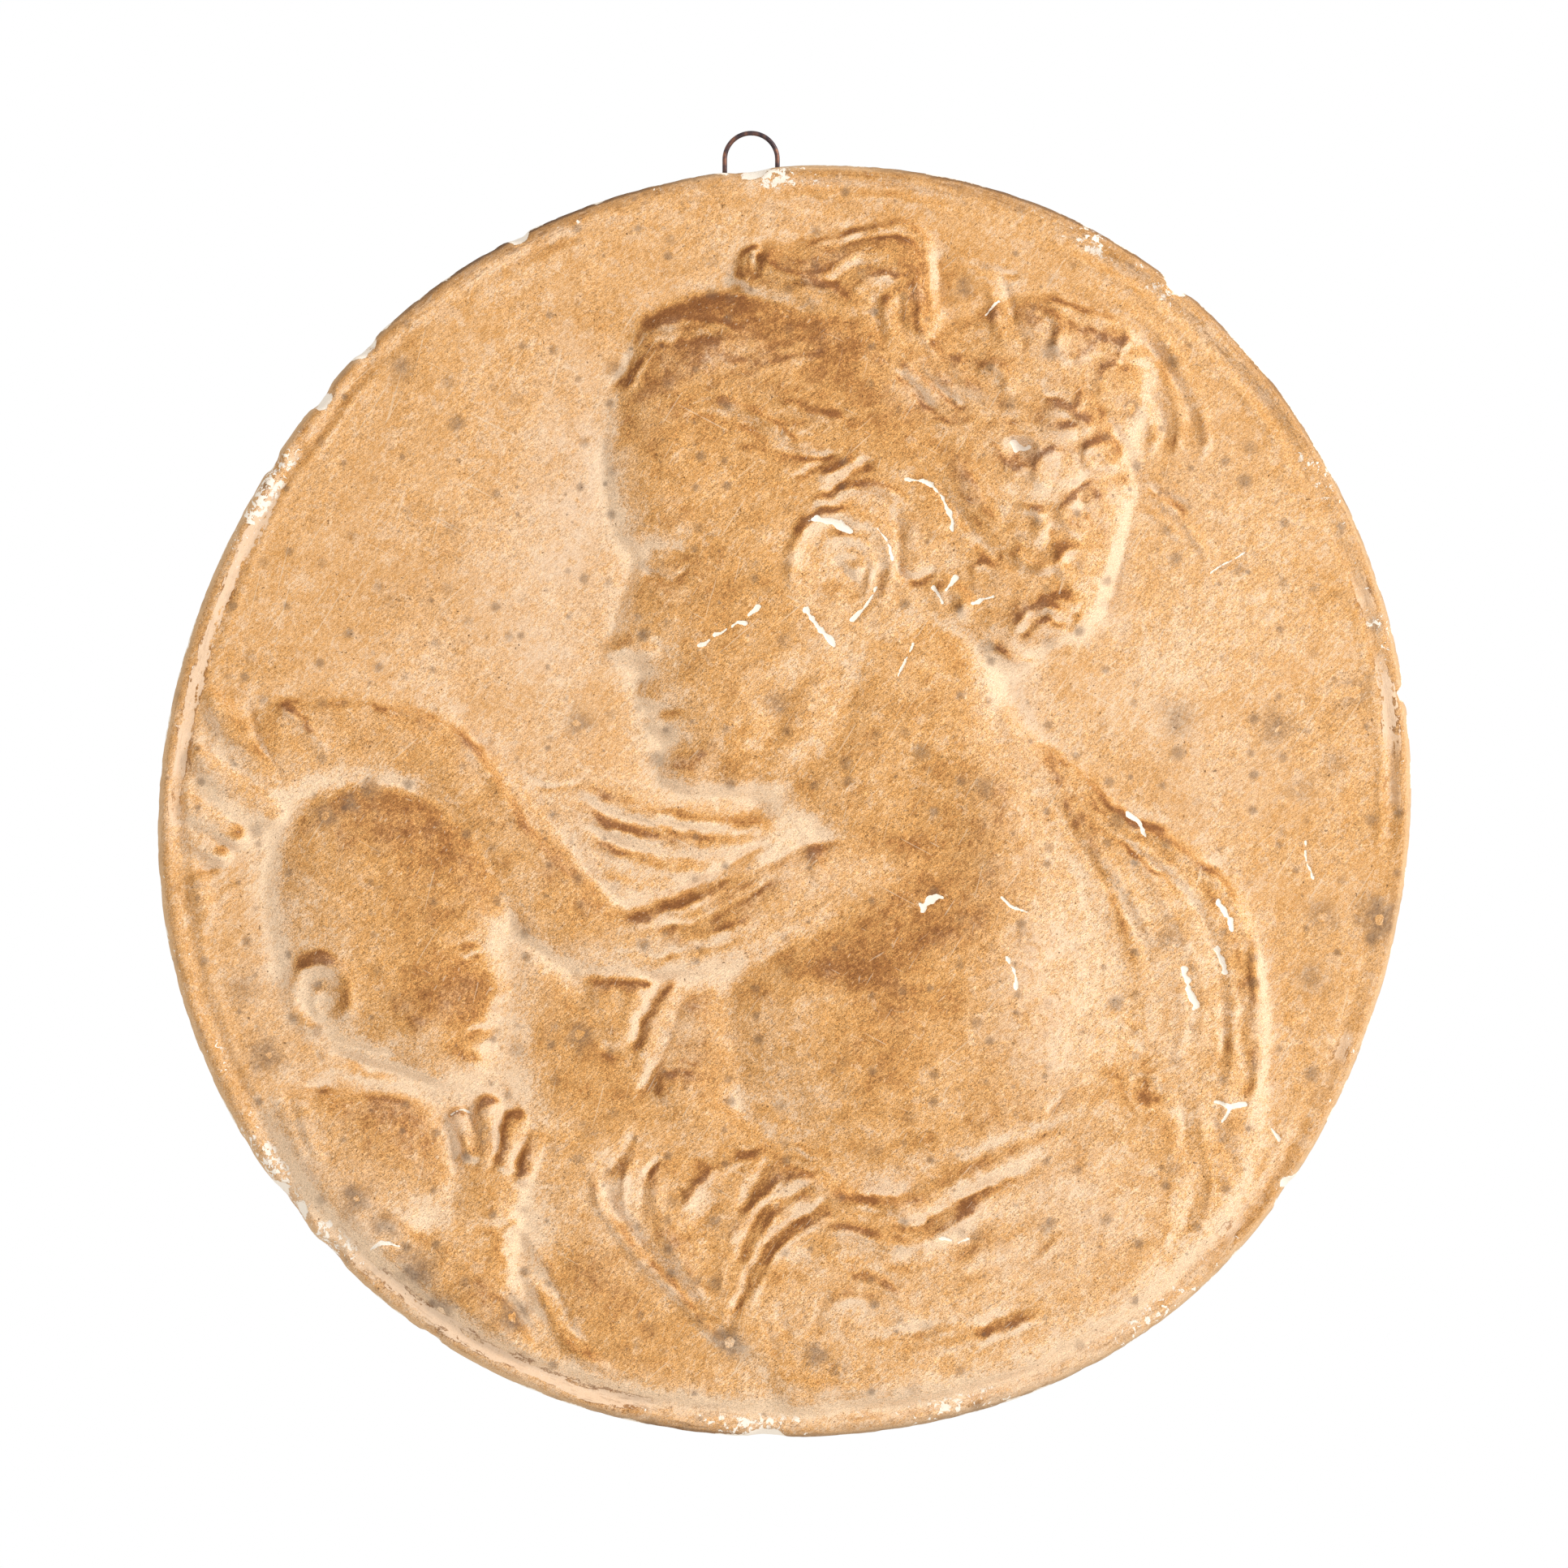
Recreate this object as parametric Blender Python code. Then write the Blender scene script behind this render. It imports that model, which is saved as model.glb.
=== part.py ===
# A round cast plaster plaque with a low relief of a mother and child, and the wire loop it hangs on.
# Metres, +Z up, front facing -Y. The origin is the middle of the flat back.
import math

import bmesh
import bpy
import numpy as np
from mathutils import Matrix, Vector

for thing in list(bpy.data.objects):
    bpy.data.objects.remove(thing, do_unlink=True)

# Sizes of the casting, in metres
ROUNDEL_DIAMETER = 0.365        # mean width of its slightly uneven outline
SLAB_THICKNESS = 0.014          # from the flat back to the ground of the relief
RELIEF_DEPTH = 0.0100           # from the ground to the highest carving
EDGE_ROUND = 0.0025             # worn rounding of the front edge
BACK_CHAMFER = 0.0012
FACET_LIMIT = 7600              # triangles kept in the faceted casting

# Sizes of the hanging wire, in metres
WIRE_DIAMETER = 0.0014
LOOP_WIDTH = 0.0152             # between the centres of its legs
LOOP_RISE = 0.0117              # centre of the bow above the top edge
LOOP_CENTRE_X = -0.0110
LOOP_Y = -0.0060                # the wire sits in the rear half of the slab
LEG_DEPTH = 0.0150              # of each leg inside the plaster
SOCKET_CLEARANCE = 0.0003       # all round the wire and below its end

# How the cast edge strays from a circle: number of lobes, share of the radius, turn in degrees
OUTLINE_LOBES = ((2, 0.0162, 64.6), (3, 0.0082, -49.9), (4, 0.0037, 40.7), (6, 0.0030, 3.8))
# Chips broken from the front edge: turn in degrees, half width in degrees, reach in hundredths of the radius
EDGE_CHIPS = ((146.5, 1.0, 1.6), (139.0, 1.4, 1.9), (132.8, 1.2, 1.7), (115.5, 0.9, 1.4), (93.8, 1.9, 1.7),
              (218.5, 2.2, 2.2), (224.5, 1.5, 1.8), (236.0, 1.0, 1.3), (53.0, 1.2, 1.5), (268.0, 1.6, 1.3),
              (322.0, 1.4, 1.5), (10.0, 0.8, 1.3))
CHIP_BITE = 0.22                # how much of a chip's reach shows in the outline

MEAN_RADIUS = ROUNDEL_DIAMETER / 2
UNIT = MEAN_RADIUS / 100        # the carving is placed in hundredths of the radius
HEIGHT_UNIT = RELIEF_DEPTH / 6.1    # one unit of carved height; the highest carving is 6.1 of them

REACH = 102.0        # half the carved square, in hundredths of the radius


def smooth_path(points, closed=False, step=1.0):
    """Points along a Catmull-Rom curve through the given ones; each may carry more numbers than two."""
    p = np.array(points, float)
    n = len(p)
    if n < 3 and not closed:
        count = max(2, int(np.hypot(*(p[-1, :2] - p[0, :2])) / step))
        share = np.linspace(0, 1, count + 1)[:, None]
        return p[0] * (1 - share) + p[-1] * share
    spans = n if closed else n - 1
    out = []
    for i in range(spans):
        if closed:
            a, b, c, d = (p[(i + k - 1) % n] for k in range(4))
        else:
            b, c = p[i], p[i + 1]
            a = p[i - 1] if i else 2 * b - c
            d = p[i + 2] if i + 2 < n else 2 * c - b
        count = max(2, int(math.ceil(math.dist(b[:2], c[:2]) / step)))
        t = np.arange(count)[:, None] / count
        out.append(0.5 * (2 * b + (c - a) * t + (2 * a - 5 * b + 4 * c - d) * t**2
                          + (3 * b - a - 3 * c + d) * t**3))
    line = np.concatenate(out)
    return line if closed else np.vstack([line, p[-1]])


def noise(x, z, size, seed):
    """Smooth noise from -1 to 1 whose lumps are about size across."""
    cells = int(2 * REACH / size) + 4
    lattice = np.random.default_rng(seed).uniform(-1, 1, (cells, cells))
    u, v = (x + REACH) / size, (z + REACH) / size
    i, j = np.clip(u.astype(int), 0, cells - 2), np.clip(v.astype(int), 0, cells - 2)
    f, g = u - i, v - j
    f, g = f * f * (3 - 2 * f), g * g * (3 - 2 * g)
    near = lattice[j, i] * (1 - f) + lattice[j, i + 1] * f
    far = lattice[j + 1, i] * (1 - f) + lattice[j + 1, i + 1] * f
    return near * (1 - g) + far * g


def smooth_step(low, high, value):
    t = np.clip((value - low) / (high - low), 0, 1)
    return t * t * (3 - 2 * t)


def smooth_max(a, b, blend):
    """The higher of two surfaces, with a fillet where they cross."""
    near = np.maximum(blend - np.abs(a - b), 0) / max(blend, 1e-6)
    return np.maximum(a, b) + near * near * blend / 4


class Clay:
    """Height over the roundel's face. Places, widths and heights are in hundredths of its radius."""

    def __init__(self, spacing):
        count = int(round(2 * REACH / spacing)) + 1
        self.line = np.linspace(-REACH, REACH, count)
        self.spacing = self.line[1] - self.line[0]
        self.x, self.z = np.meshgrid(self.line, self.line)
        self.h = np.zeros_like(self.x)
        # Shapes are laid in slightly wandering places, so that every line looks drawn by hand
        self.u = self.x + 0.45 * noise(self.x, self.z, 7, 81) + 0.16 * noise(self.x, self.z, 2.4, 82)
        self.v = self.z + 0.45 * noise(self.x, self.z, 7, 83) + 0.16 * noise(self.x, self.z, 2.4, 84)

    def window(self, path, margin):
        low = np.searchsorted(self.line, path[:, :2].min(0) - margin)
        high = np.searchsorted(self.line, path[:, :2].max(0) + margin)
        return np.s_[low[1]:high[1] + 1, low[0]:high[0] + 1]

    def measure(self, path, part, closed=False):
        """Distance to a path, how far along its point is, counted in points, and which side it is on."""
        x, z = self.u[part], self.v[part]
        best = np.full(x.shape, 1e9)
        along = np.zeros(x.shape)
        side = np.zeros(x.shape)
        inside = np.zeros(x.shape, bool)
        ends = np.roll(path, -1, axis=0) if closed else path[1:]
        for i, (a, b) in enumerate(zip(path[:len(ends)], ends)):
            dx, dz = b[0] - a[0], b[1] - a[1]
            px, pz = x - a[0], z - a[1]
            t = np.clip((px * dx + pz * dz) / max(dx * dx + dz * dz, 1e-9), 0, 1)
            ex, ez = px - t * dx, pz - t * dz
            gap = ex * ex + ez * ez
            nearer = gap < best
            best = np.where(nearer, gap, best)
            along = np.where(nearer, i + t, along)
            side = np.where(nearer, dx * ez - dz * ex, side)
            if closed and dz:
                crosses = (a[1] > z) != (b[1] > z)
                inside ^= crosses & (px < pz * dx / dz)
        return np.sqrt(best), along, (inside if closed else np.sign(side))

    def mass(self, outline, height, edge, blend=0.6, firm=0.85):
        """A rounded slab inside a closed outline: it rolls up to its height over the edge width."""
        path = smooth_path(outline, closed=True, step=1.5)
        part = self.window(path, edge)
        gap, _, inside = self.measure(path, part, closed=True)
        inward = np.clip(gap / edge, 0, 1)
        roll = np.where(inside, np.sin(math.pi / 2 * inward**firm), -2 * inward)
        self.h[part] = smooth_max(self.h[part], height * roll, blend)

    def turned(self, part, centre, turn):
        c, s = math.cos(math.radians(turn)), math.sin(math.radians(turn))
        dx, dz = self.u[part] - centre[0], self.v[part] - centre[1]
        return dx * c + dz * s, dz * c - dx * s

    def swell(self, centre, radii, amount, turn=0.0):
        """A soft rise, or a hollow where the amount is negative, added to what is there."""
        part = self.window(np.array([centre]), max(radii) * 2)
        u, v = self.turned(part, centre, turn)
        self.h[part] += amount * np.exp(-2 * ((u / radii[0]) ** 2 + (v / radii[1]) ** 2))

    def limb(self, points, blend=0.6, base=0.0, square=2.0):
        """A rounded tapering form along points of (x, z, half width, height)."""
        path = smooth_path(points)
        wide = path[:, 2].max()
        part = self.window(path, wide * 1.6)
        gap, along, _ = self.measure(path, part)
        places = np.arange(len(path))
        half = np.interp(along, places, path[:, 2])
        tall = np.interp(along, places, path[:, 3])
        t = gap / half
        level = np.where(t < 1, base + tall * (1 - np.minimum(t, 1) ** square) ** (1 / square),
                         base - tall * 2 * (t - 1))
        self.h[part] = smooth_max(self.h[part], level, blend)

    def stroke(self, points, width, amount, taper=0.25, lean=0.0):
        """A soft ridge, or a groove where the amount is negative, that thins out at its ends.
        With a lean its far side falls away more slowly: positive leans to the right of the path."""
        path = smooth_path(points)
        part = self.window(path, width * (3 + 4 * abs(lean)))
        gap, along, side = self.measure(path, part)
        share = along / (len(path) - 1)
        fade = smooth_step(0, taper, share) * smooth_step(0, taper, 1 - share) if taper else 1.0
        slow = np.where(side * lean < 0, 1 + 3 * abs(lean), 1.0)
        self.h[part] += amount * fade * np.exp(-((gap / (width * slow)) ** 2))

    def strokes(self, rows, taper=0.25):
        """Many strokes, each given as (rise, width, point, point, ...)."""
        for rise, width, *points in rows:
            self.stroke(points, width, rise, taper=taper)

    def soften(self, width, part=np.s_[:, :]):
        """Blurs the surface over a width."""
        h = self.h[part]
        spread = max(1, int(round(3 * width / self.spacing)))
        k = np.exp(-0.5 * (np.arange(-spread, spread + 1) * self.spacing / width) ** 2)
        k /= k.sum()
        for axis in (0, 1):
            padded = np.pad(h, [(spread, spread) if a == axis else (0, 0) for a in (0, 1)], mode="edge")
            h = sum(w * np.take(padded, np.arange(i, i + h.shape[axis]), axis=axis) for i,
                    w in enumerate(k))
        self.h[part] = h


def between(first, second, count, skip=0):
    """Paths that fan from one guide path to another with the same number of points."""
    a, b = np.array(first, float), np.array(second, float)
    return [tuple(map(tuple, a + (b - a) * i / (count - 1))) for i in range(skip, count - skip)]


def profile(start, lean, third, shape, facing):
    """A face's side line: shape holds (down, out) in thirds of the face, from the hairline to the chin."""
    c, s = math.cos(math.radians(lean)), math.sin(math.radians(lean))
    return [(start[0] + third * (facing * out * c + down * s),
             start[1] + third * (facing * out * s - down * c))
            for down, out in shape]


# A calm grown woman's side line and a round-cheeked child's, both by the common rule of thirds
WOMAN = [(0, -.10), (.5, .02), (1.0, .04), (1.2, -.04), (1.6, .14), (1.88, .31), (2.02, .06), (2.17, .10),
         (2.26, .11), (2.35, .03), (2.45, .08), (2.6, -.02), (2.82, .05), (3.0, -.10), (3.06, -.35)]
CHILD = [(0, .0), (.45, .13), (.9, .14), (1.25, .03), (1.55, .10), (1.84, .27), (2.0, .08), (2.14, .14),
         (2.26, .05), (2.40, .11), (2.54, .02), (2.8, .07), (3.0, -.06), (3.06, -.32)]


def curl(clay, centre, radii, turn, start, sweep, width, height):
    """A lock bent round a flattened arc that closes in on itself, with a hollow in its bend."""
    t = np.linspace(0, 1, 9)
    angle = np.radians(start + sweep * t)
    shrink = 1 - 0.35 * t
    u, v = radii[0] * shrink * np.cos(angle), radii[1] * shrink * np.sin(angle)
    c, s = math.cos(math.radians(turn)), math.sin(math.radians(turn))
    clay.stroke(list(zip(centre[0] + u * c - v * s, centre[1] + u * s + v * c)), width, height, taper=0.2)
    clay.swell(centre, (radii[0] * 0.6, radii[1] * 0.6), -0.7 * height, turn=turn)


def strands(clay, first, second, count, width, height, seed):
    """Uneven locks that fan from one guide to another: ridges and grooves that come and go."""
    chance = np.random.default_rng(seed)
    for path in between(first, second, count):
        wander = [(x + chance.normal(0, 0.35), z + chance.normal(0, 0.35)) for x, z in path]
        begin = chance.integers(0, max(1, len(wander) - 2))
        clay.stroke(wander[begin:] if len(wander) - begin > 2 else wander, width * chance.uniform(0.7, 1.3),
                    height * chance.uniform(0.3, 1.2) * (1 if chance.random() < 0.5 else -1), taper=0.35)


def body(clay):
    # Bare back, shoulder and neck
    clay.mass([(-8, 8), (-3, -3), (2, -5), (4, -14), (-1, -19), (-8, -25), (-12, -33), (-9, -44), (-6, -54),
               (4, -62), (20, -64), (44, -61), (58, -58), (61, -46), (59, -34), (54, -20), (49, -8),
               (41, 6),
               (35.5, 13), (33, 22), (26, 34), (8, 34), (-6, 18)], 3.2, 15, firm=0.8)
    clay.swell((14, -37), (34, 19), 2.2, turn=-6)
    clay.swell((20, -4), (15, 16), -1.1, turn=20)
    clay.swell((11, -46), (10, 9), 0.4)
    clay.stroke([(35, 12), (33.5, -4), (33.5, -20), (39, -36), (44, -48)], 5.5, 0.7)
    clay.stroke([(-6, -20), (4, -27), (14, -27), (26, -21), (33, -16)], 4.5, 0.75)
    clay.swell((45, -26), (9, 26), -0.7, turn=15)
    clay.swell((0, -48), (6, 4), -0.6, turn=-40)
    clay.swell((27, -51), (3, 5), -0.25)
    clay.strokes(((-0.5, 0.54, (40.5, -49.5), (42, -47.5), (44, -45.2)),
                  (-0.3, 0.9, (2, -52), (-1, -49), (-5, -45.5)),
                  (0.34, 0.48, (0, -53.4), (3, -55.2), (6, -56)),
                  (-0.34, 1.36, (34, 21), (35.6, 13), (39.5, 8))))


def arm(clay):
    clay.limb([(16, -10, 6, 2.2), (8, -13, 7.5, 3.2), (-4, -17, 7, 3.5), (-16, -20.5, 6.3, 3.1),
               (-27, -22, 5.8, 2.9),
               (-34, -18.5, 7, 2.9), (-41, -10, 7.0, 2.9), (-48, -.5, 6.4, 2.7), (-57, 7.5, 6.2, 2.5),
               (-68, 9.5, 6.6, 2.1), (-78, 9, 7.0, 1.8), (-86, 6, 6.5, 1.4)], blend=1.6)
    # Cloth slung round the upper arm, its edge standing on the shoulder, with creases drawn down to the elbow
    clay.strokes(((0.5, 1.1, (5.4, -15), (4.2, -9), (2.2, -4.5), (-0.6, -1.8)),
                  (0.84, 0.68, (-27, -18.6), (-22, -18), (-15, -15.4), (-8, -11), (-1, -7.6)),
                  (-0.9, 0.61, (-24, -16.3), (-16, -13.2), (-8, -8.4), (-1, -5)),
                  (-0.67, 0.48, (-23, -20.4), (-14, -18.3), (-5, -13), (0, -10.6)),
                  (0.56, 0.61, (-22, -22.4), (-12, -20.6), (-2, -15.4)),
                  (-0.34, 0.54, (-30, -24), (-18, -23.6), (-6, -20)),
                  (0.56, 0.82, (-57, 15.2), (-52, 10.8), (-47.5, 4.6), (-43, -2.6), (-37, -9.4),
                   (-31, -15.4)),
                  (-0.56, 0.68, (-54, 15.6), (-49.5, 10), (-45, 3.4), (-40.4, -3), (-34.6, -9)),
                  (0.39, 0.68, (-71, 17), (-66, 15.2), (-62, 12.6), (-59, 10))))


def neck_cloth(clay):
    # Soft cloth between the chin and the arm
    clay.mass([(-46, 4), (-40, 10), (-30, 9), (-20, 2), (-8, -1), (2, -2), (3, -10), (-8, -12), (-18, -17),
               (-29, -18), (-38, -9)], 1.3, 8, blend=1.0)
    clay.strokes(((0.56, 0.95, (-40, 4.5), (-31, 1), (-20, -1.6), (-8, -3.2), (1, -3.6)),
                  (-0.5, 0.61, (-37, 2.2), (-28, -1.8), (-15, -3.8), (-3, -5)),
                  (0.56, 0.82, (-36, 0), (-27, -4), (-16, -6), (-4, -6.8)),
                  (-0.5, 0.54, (-34, -3), (-25, -7), (-14, -8.3), (-5, -8)),
                  (0.45, 0.75, (-33, -5), (-25, -9), (-15, -10.5), (-7, -9.6)),
                  (0.39, 0.61, (-30, -11), (-23, -13.5), (-16, -12.8)),
                  (-0.34, 0.54, (-45, 6), (-38, 3), (-31, 3.6)),
                  (0.34, 0.41, (-24, -1), (-18, -4.6), (-10, -5.4))))


def far_hand(clay):
    # The mother's hand at the left edge, its fingers laid loosely round the back of the child's head
    clay.limb([(-70, 11, 5, 1.8), (-77, 9, 6.4, 1.8), (-83, 5, 6.2, 1.5), (-86, 0, 5, 1.2)], blend=1.4)
    for *points, half, tall in (((-91, 16.5), (-88, 12.4), (-84, 7), 2.2, 2.1),
                                ((-93.4, 7.6), (-88, 3.2), (-81.4, -2), 2.2, 2.1),
                                ((-96, .6), (-92, -2), (-87, -5), 2.0, 1.9),
                                ((-96, -5), (-93, -6.2), (-89.4, -7.6), 1.6, 1.5),
                                ((-93.6, -12.6), (-93.8, -15), (-93.4, -17.6), 2.6, 1.3)):
        clay.limb([(x, z, half * wide, tall * wide) for (x, z), wide in zip(points, (0.8, 1.0, 0.9))],
                  blend=0.9)
    clay.strokes(((-0.6, 0.45, (-86.6, 18.6), (-85, 15), (-83.4, 10), (-81, 6), (-80, 1)),
                  (0.45, 0.6, (-90, 18), (-86.6, 14.4), (-84.4, 10)),
                  (0.5, 0.6, (-81.6, 17), (-78.4, 14), (-75, 11.4), (-72, 8)),
                  (-0.3, 0.9, (-80, 12.6), (-77.4, 10.4), (-75.4, 7)),
                  (-0.45, 0.6, (-91.4, 10.4), (-86, 4.6), (-81.6, 1.4)),
                  (-0.45, 0.6, (-94.6, 3), (-88.6, -1.4), (-83, -4.6)),
                  (-0.4, 0.5, (-96.2, -2), (-91, -4.6), (-87, -6.8)),
                  (-0.7, 0.4, (-95.6, -11.4), (-93, -10.4), (-90, -9.6)),
                  (0.35, 0.6, (-91.4, -16.6), (-88.4, -13.4), (-85, -11.4)),
                  (-0.3, 0.5, (-93, 19), (-92, 15), (-90.4, 11.4))))


def child(clay):
    # Body and shoulder behind the head
    clay.mass([(-82, -46), (-76, -45), (-64, -44), (-57, -47), (-53, -53), (-51, -60), (-49, -68),
               (-44, -74),
               (-39, -81), (-33, -90), (-38, -98), (-50, -94), (-64, -84), (-74, -74), (-83, -60)], 2.6, 7)
    clay.swell((-66, -53), (12, 8), 0.8, turn=-15)
    clay.swell((-58, -66), (6, 6), -0.7)
    # Head with a round skull and full cheek
    third = 12.4
    side = profile((-43.5, -7), -8, third, CHILD, 1)
    clay.mass([(-46, -4), (-52, 0.5), (-60, 4.3), (-68, 5), (-75, 3), (-80, -3), (-82.5, -12), (-81.5, -21),
               (-78, -30), (-73, -37), (-64, -42), (-56, -45.5)] + side[::-1][1:-1], 3.9, 13, firm=0.8)
    clay.swell((-62, -12), (15, 13), 0.7)
    clay.swell((-57, -33), (8, 7), 0.9)
    clay.swell((-48, -13), (7, 6), 0.35)
    # Eye nearly shut, small nose, soft mouth
    clay.swell((-50.5, -22.5), (5, 3.2), -0.75)
    clay.swell((-50.2, -23), (2.6, 1.7), 0.6)
    clay.strokes(((-0.5, 0.34, (-53, -23.4), (-50.4, -24.2), (-47.6, -23.4)),
                  (0.28, 0.82, (-54, -18.4), (-50, -17), (-46.4, -18)),
                  (-0.39, 0.34, (-49.6, -32.4), (-49.4, -30.8), (-47.8, -29.8)),
                  (-0.62, 0.37, (-51.4, -36.1), (-49.2, -35.5), (-46.6, -35.5))), taper=0.2)
    clay.swell((-47.2, -31.2), (2.2, 1.8), 0.45)
    clay.swell((-48.5, -33.9), (2.4, 1.1), 0.3)
    clay.swell((-49, -37.3), (2.4, 1.1), 0.3)
    clay.swell((-50, -40.5), (3.6, 2.4), 0.35)
    # Ear
    clay.swell((-73.5, -30.5), (6, 8), -0.6)
    clay.stroke([(-69.5, -34.5), (-69.6, -28.5), (-73, -25), (-76.6, -26.2), (-78.2, -30), (-76.4, -34.5),
                 (-72.8, -37)], 1.2, 1.2, taper=0.1)
    clay.stroke([(-73.8, -28.6), (-75, -31), (-73.4, -33.8)], 0.9, 0.6)
    clay.swell((-73, -31.5), (2, 2.4), -0.5)
    # Folds of skin below the jaw
    clay.strokes(((-0.67, 0.61, (-75, -38.5), (-68, -40.3), (-60, -43), (-53, -44.8)),
                  (0.56, 0.61, (-74, -41), (-66, -42.8), (-58, -45)),
                  (-0.62, 0.61, (-78, -44.6), (-70, -44.8), (-62, -45.6), (-56, -48)),
                  (-0.39, 0.48, (-73, -36.6), (-66, -38.6), (-60, -40.4)),
                  (0.45, 0.88, (-77, -44), (-76, -52), (-73, -58)),
                  (-0.45, 0.61, (-79.5, -44), (-78, -50), (-74.5, -57.5)),
                  (0.34, 1.02, (-70, -60), (-63, -66), (-55, -72))))
    # Thin soft hair
    strands(clay, [(-79, -4), (-76, -9), (-72, -13)], [(-50, -1), (-50, -6), (-53, -11)], 9, 0.6, 0.12, 15)


def small_hand(clay):
    # The child's raised hand and forearm
    clay.limb([(-53, -84, 6, 2.0), (-49.5, -76, 5.4, 2.2), (-48, -69, 5, 2.3), (-47.5, -63, 6, 2.4),
               (-47, -59, 5.8, 2.4)], blend=1.4)
    for x0, z0, x1, z1, half in ((-51.8, -49.6, -49.8, -55, 1.7), (-47.2, -47.6, -47.6, -56, 2.1),
                                 (-42.8, -49.8, -44.6, -57, 1.8), (-39.9, -52.8, -41.8, -59, 1.6)):
        clay.limb([(x0, z0, half, 2.3), (x1, z1, half * 1.1, 2.8)], blend=0.6)
    clay.strokes(((-0.5, 0.45, (-50.4, -50), (-49.4, -56)), (-0.5, 0.45, (-45.2, -49), (-46, -56.4)),
                  (-0.5, 0.45, (-41.8, -52), (-43.2, -58)),
                  (-0.6, 0.5, (-44.6, -65), (-42.8, -64.6), (-41.2, -63.4)),
                  (-0.3, 1.2, (-51, -66.4), (-47, -67), (-44, -66))))
    clay.swell((-56, -66), (3.6, 4.8), -0.8)
    clay.swell((-43.4, -69), (3.0, 4.2), -0.5)
    clay.strokes(((0.5, 0.7, (-46, -67.6), (-43, -66.4), (-40.6, -69), (-38, -73.4), (-36, -78)),
                  (-0.35, 0.6, (-45.6, -69.6), (-44, -72), (-43.6, -74.6))))
    # Edge of the child's sleeve
    clay.strokes(((0.9, 0.68, (-44, -73), (-40.5, -76), (-38.3, -80), (-36, -84.6), (-32, -88),
                   (-26, -89.6)),
                  (-0.78, 0.61, (-47, -76), (-43, -79), (-41, -83), (-38, -87.6)),
                  (-0.56, 0.54, (-39, -73.4), (-36.6, -78), (-34.4, -83), (-30, -86.6)),
                  (0.34, 0.54, (-49, -80), (-44, -84), (-40, -89))))


def middle(clay):
    clay.mass([(-42, -22), (-28, -29), (-18, -28), (-10, -30), (-8, -44), (-6, -54), (-10, -60), (-9, -70),
               (-5, -80), (2, -92), (6, -101), (-8, -103), (-24, -101), (-37, -95), (-41, -80),
               (-42, -66), (-43, -52), (-44, -38)], 1.9, 8, blend=1.2)
    clay.swell((-12, -36), (7, 9), 0.8)
    clay.swell((-31, -68), (7, 16), 0.5)
    # A cloth end that hangs to a point, a ribbon beside it and the small fist below
    clay.mass([(-33, -27.6), (-21.5, -27.6), (-22.6, -34), (-26.5, -41), (-30.5, -36.5)], 2.5, 3.5,
              blend=0.8)
    clay.swell((-27, -33), (3, 3.6), -0.6)
    clay.strokes(((0.78, 0.95, (-17.4, -26.6), (-19.6, -31.5), (-22, -36.5), (-24.4, -41)),
                  (-0.67, 0.54, (-20.6, -28.6), (-22.8, -33.4), (-25.4, -39)),
                  (-0.78, 0.75, (-16.4, -29.5), (-17.8, -34.4), (-19.8, -39), (-22.8, -44), (-23.4, -47)),
                  (-0.39, 0.82, (-30, -37), (-28, -38.8), (-25.4, -38))))
    clay.mass([(-21.5, -42.4), (-18.5, -40.4), (-14.5, -40.4), (-12.4, -43.5), (-14, -47), (-19, -48.4),
               (-22, -46.4)],
              3.3, 3.4, blend=0.8)
    clay.strokes(((-0.39, 0.34, (-19.2, -42.6), (-18.8, -46)), (-0.39, 0.34, (-17, -42), (-16.6, -45.6)),
                  (-0.34, 0.34, (-14.9, -42.4), (-14.6, -45)),
                  (0.39, 0.41, (-18.8, -41.2), (-16, -40.7), (-13.6, -42.2))))
    clay.limb([(-17, -47, 3.4, 2.4), (-12, -52, 5, 2.3), (-5, -57, 6, 2.3)], blend=1.2)


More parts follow.
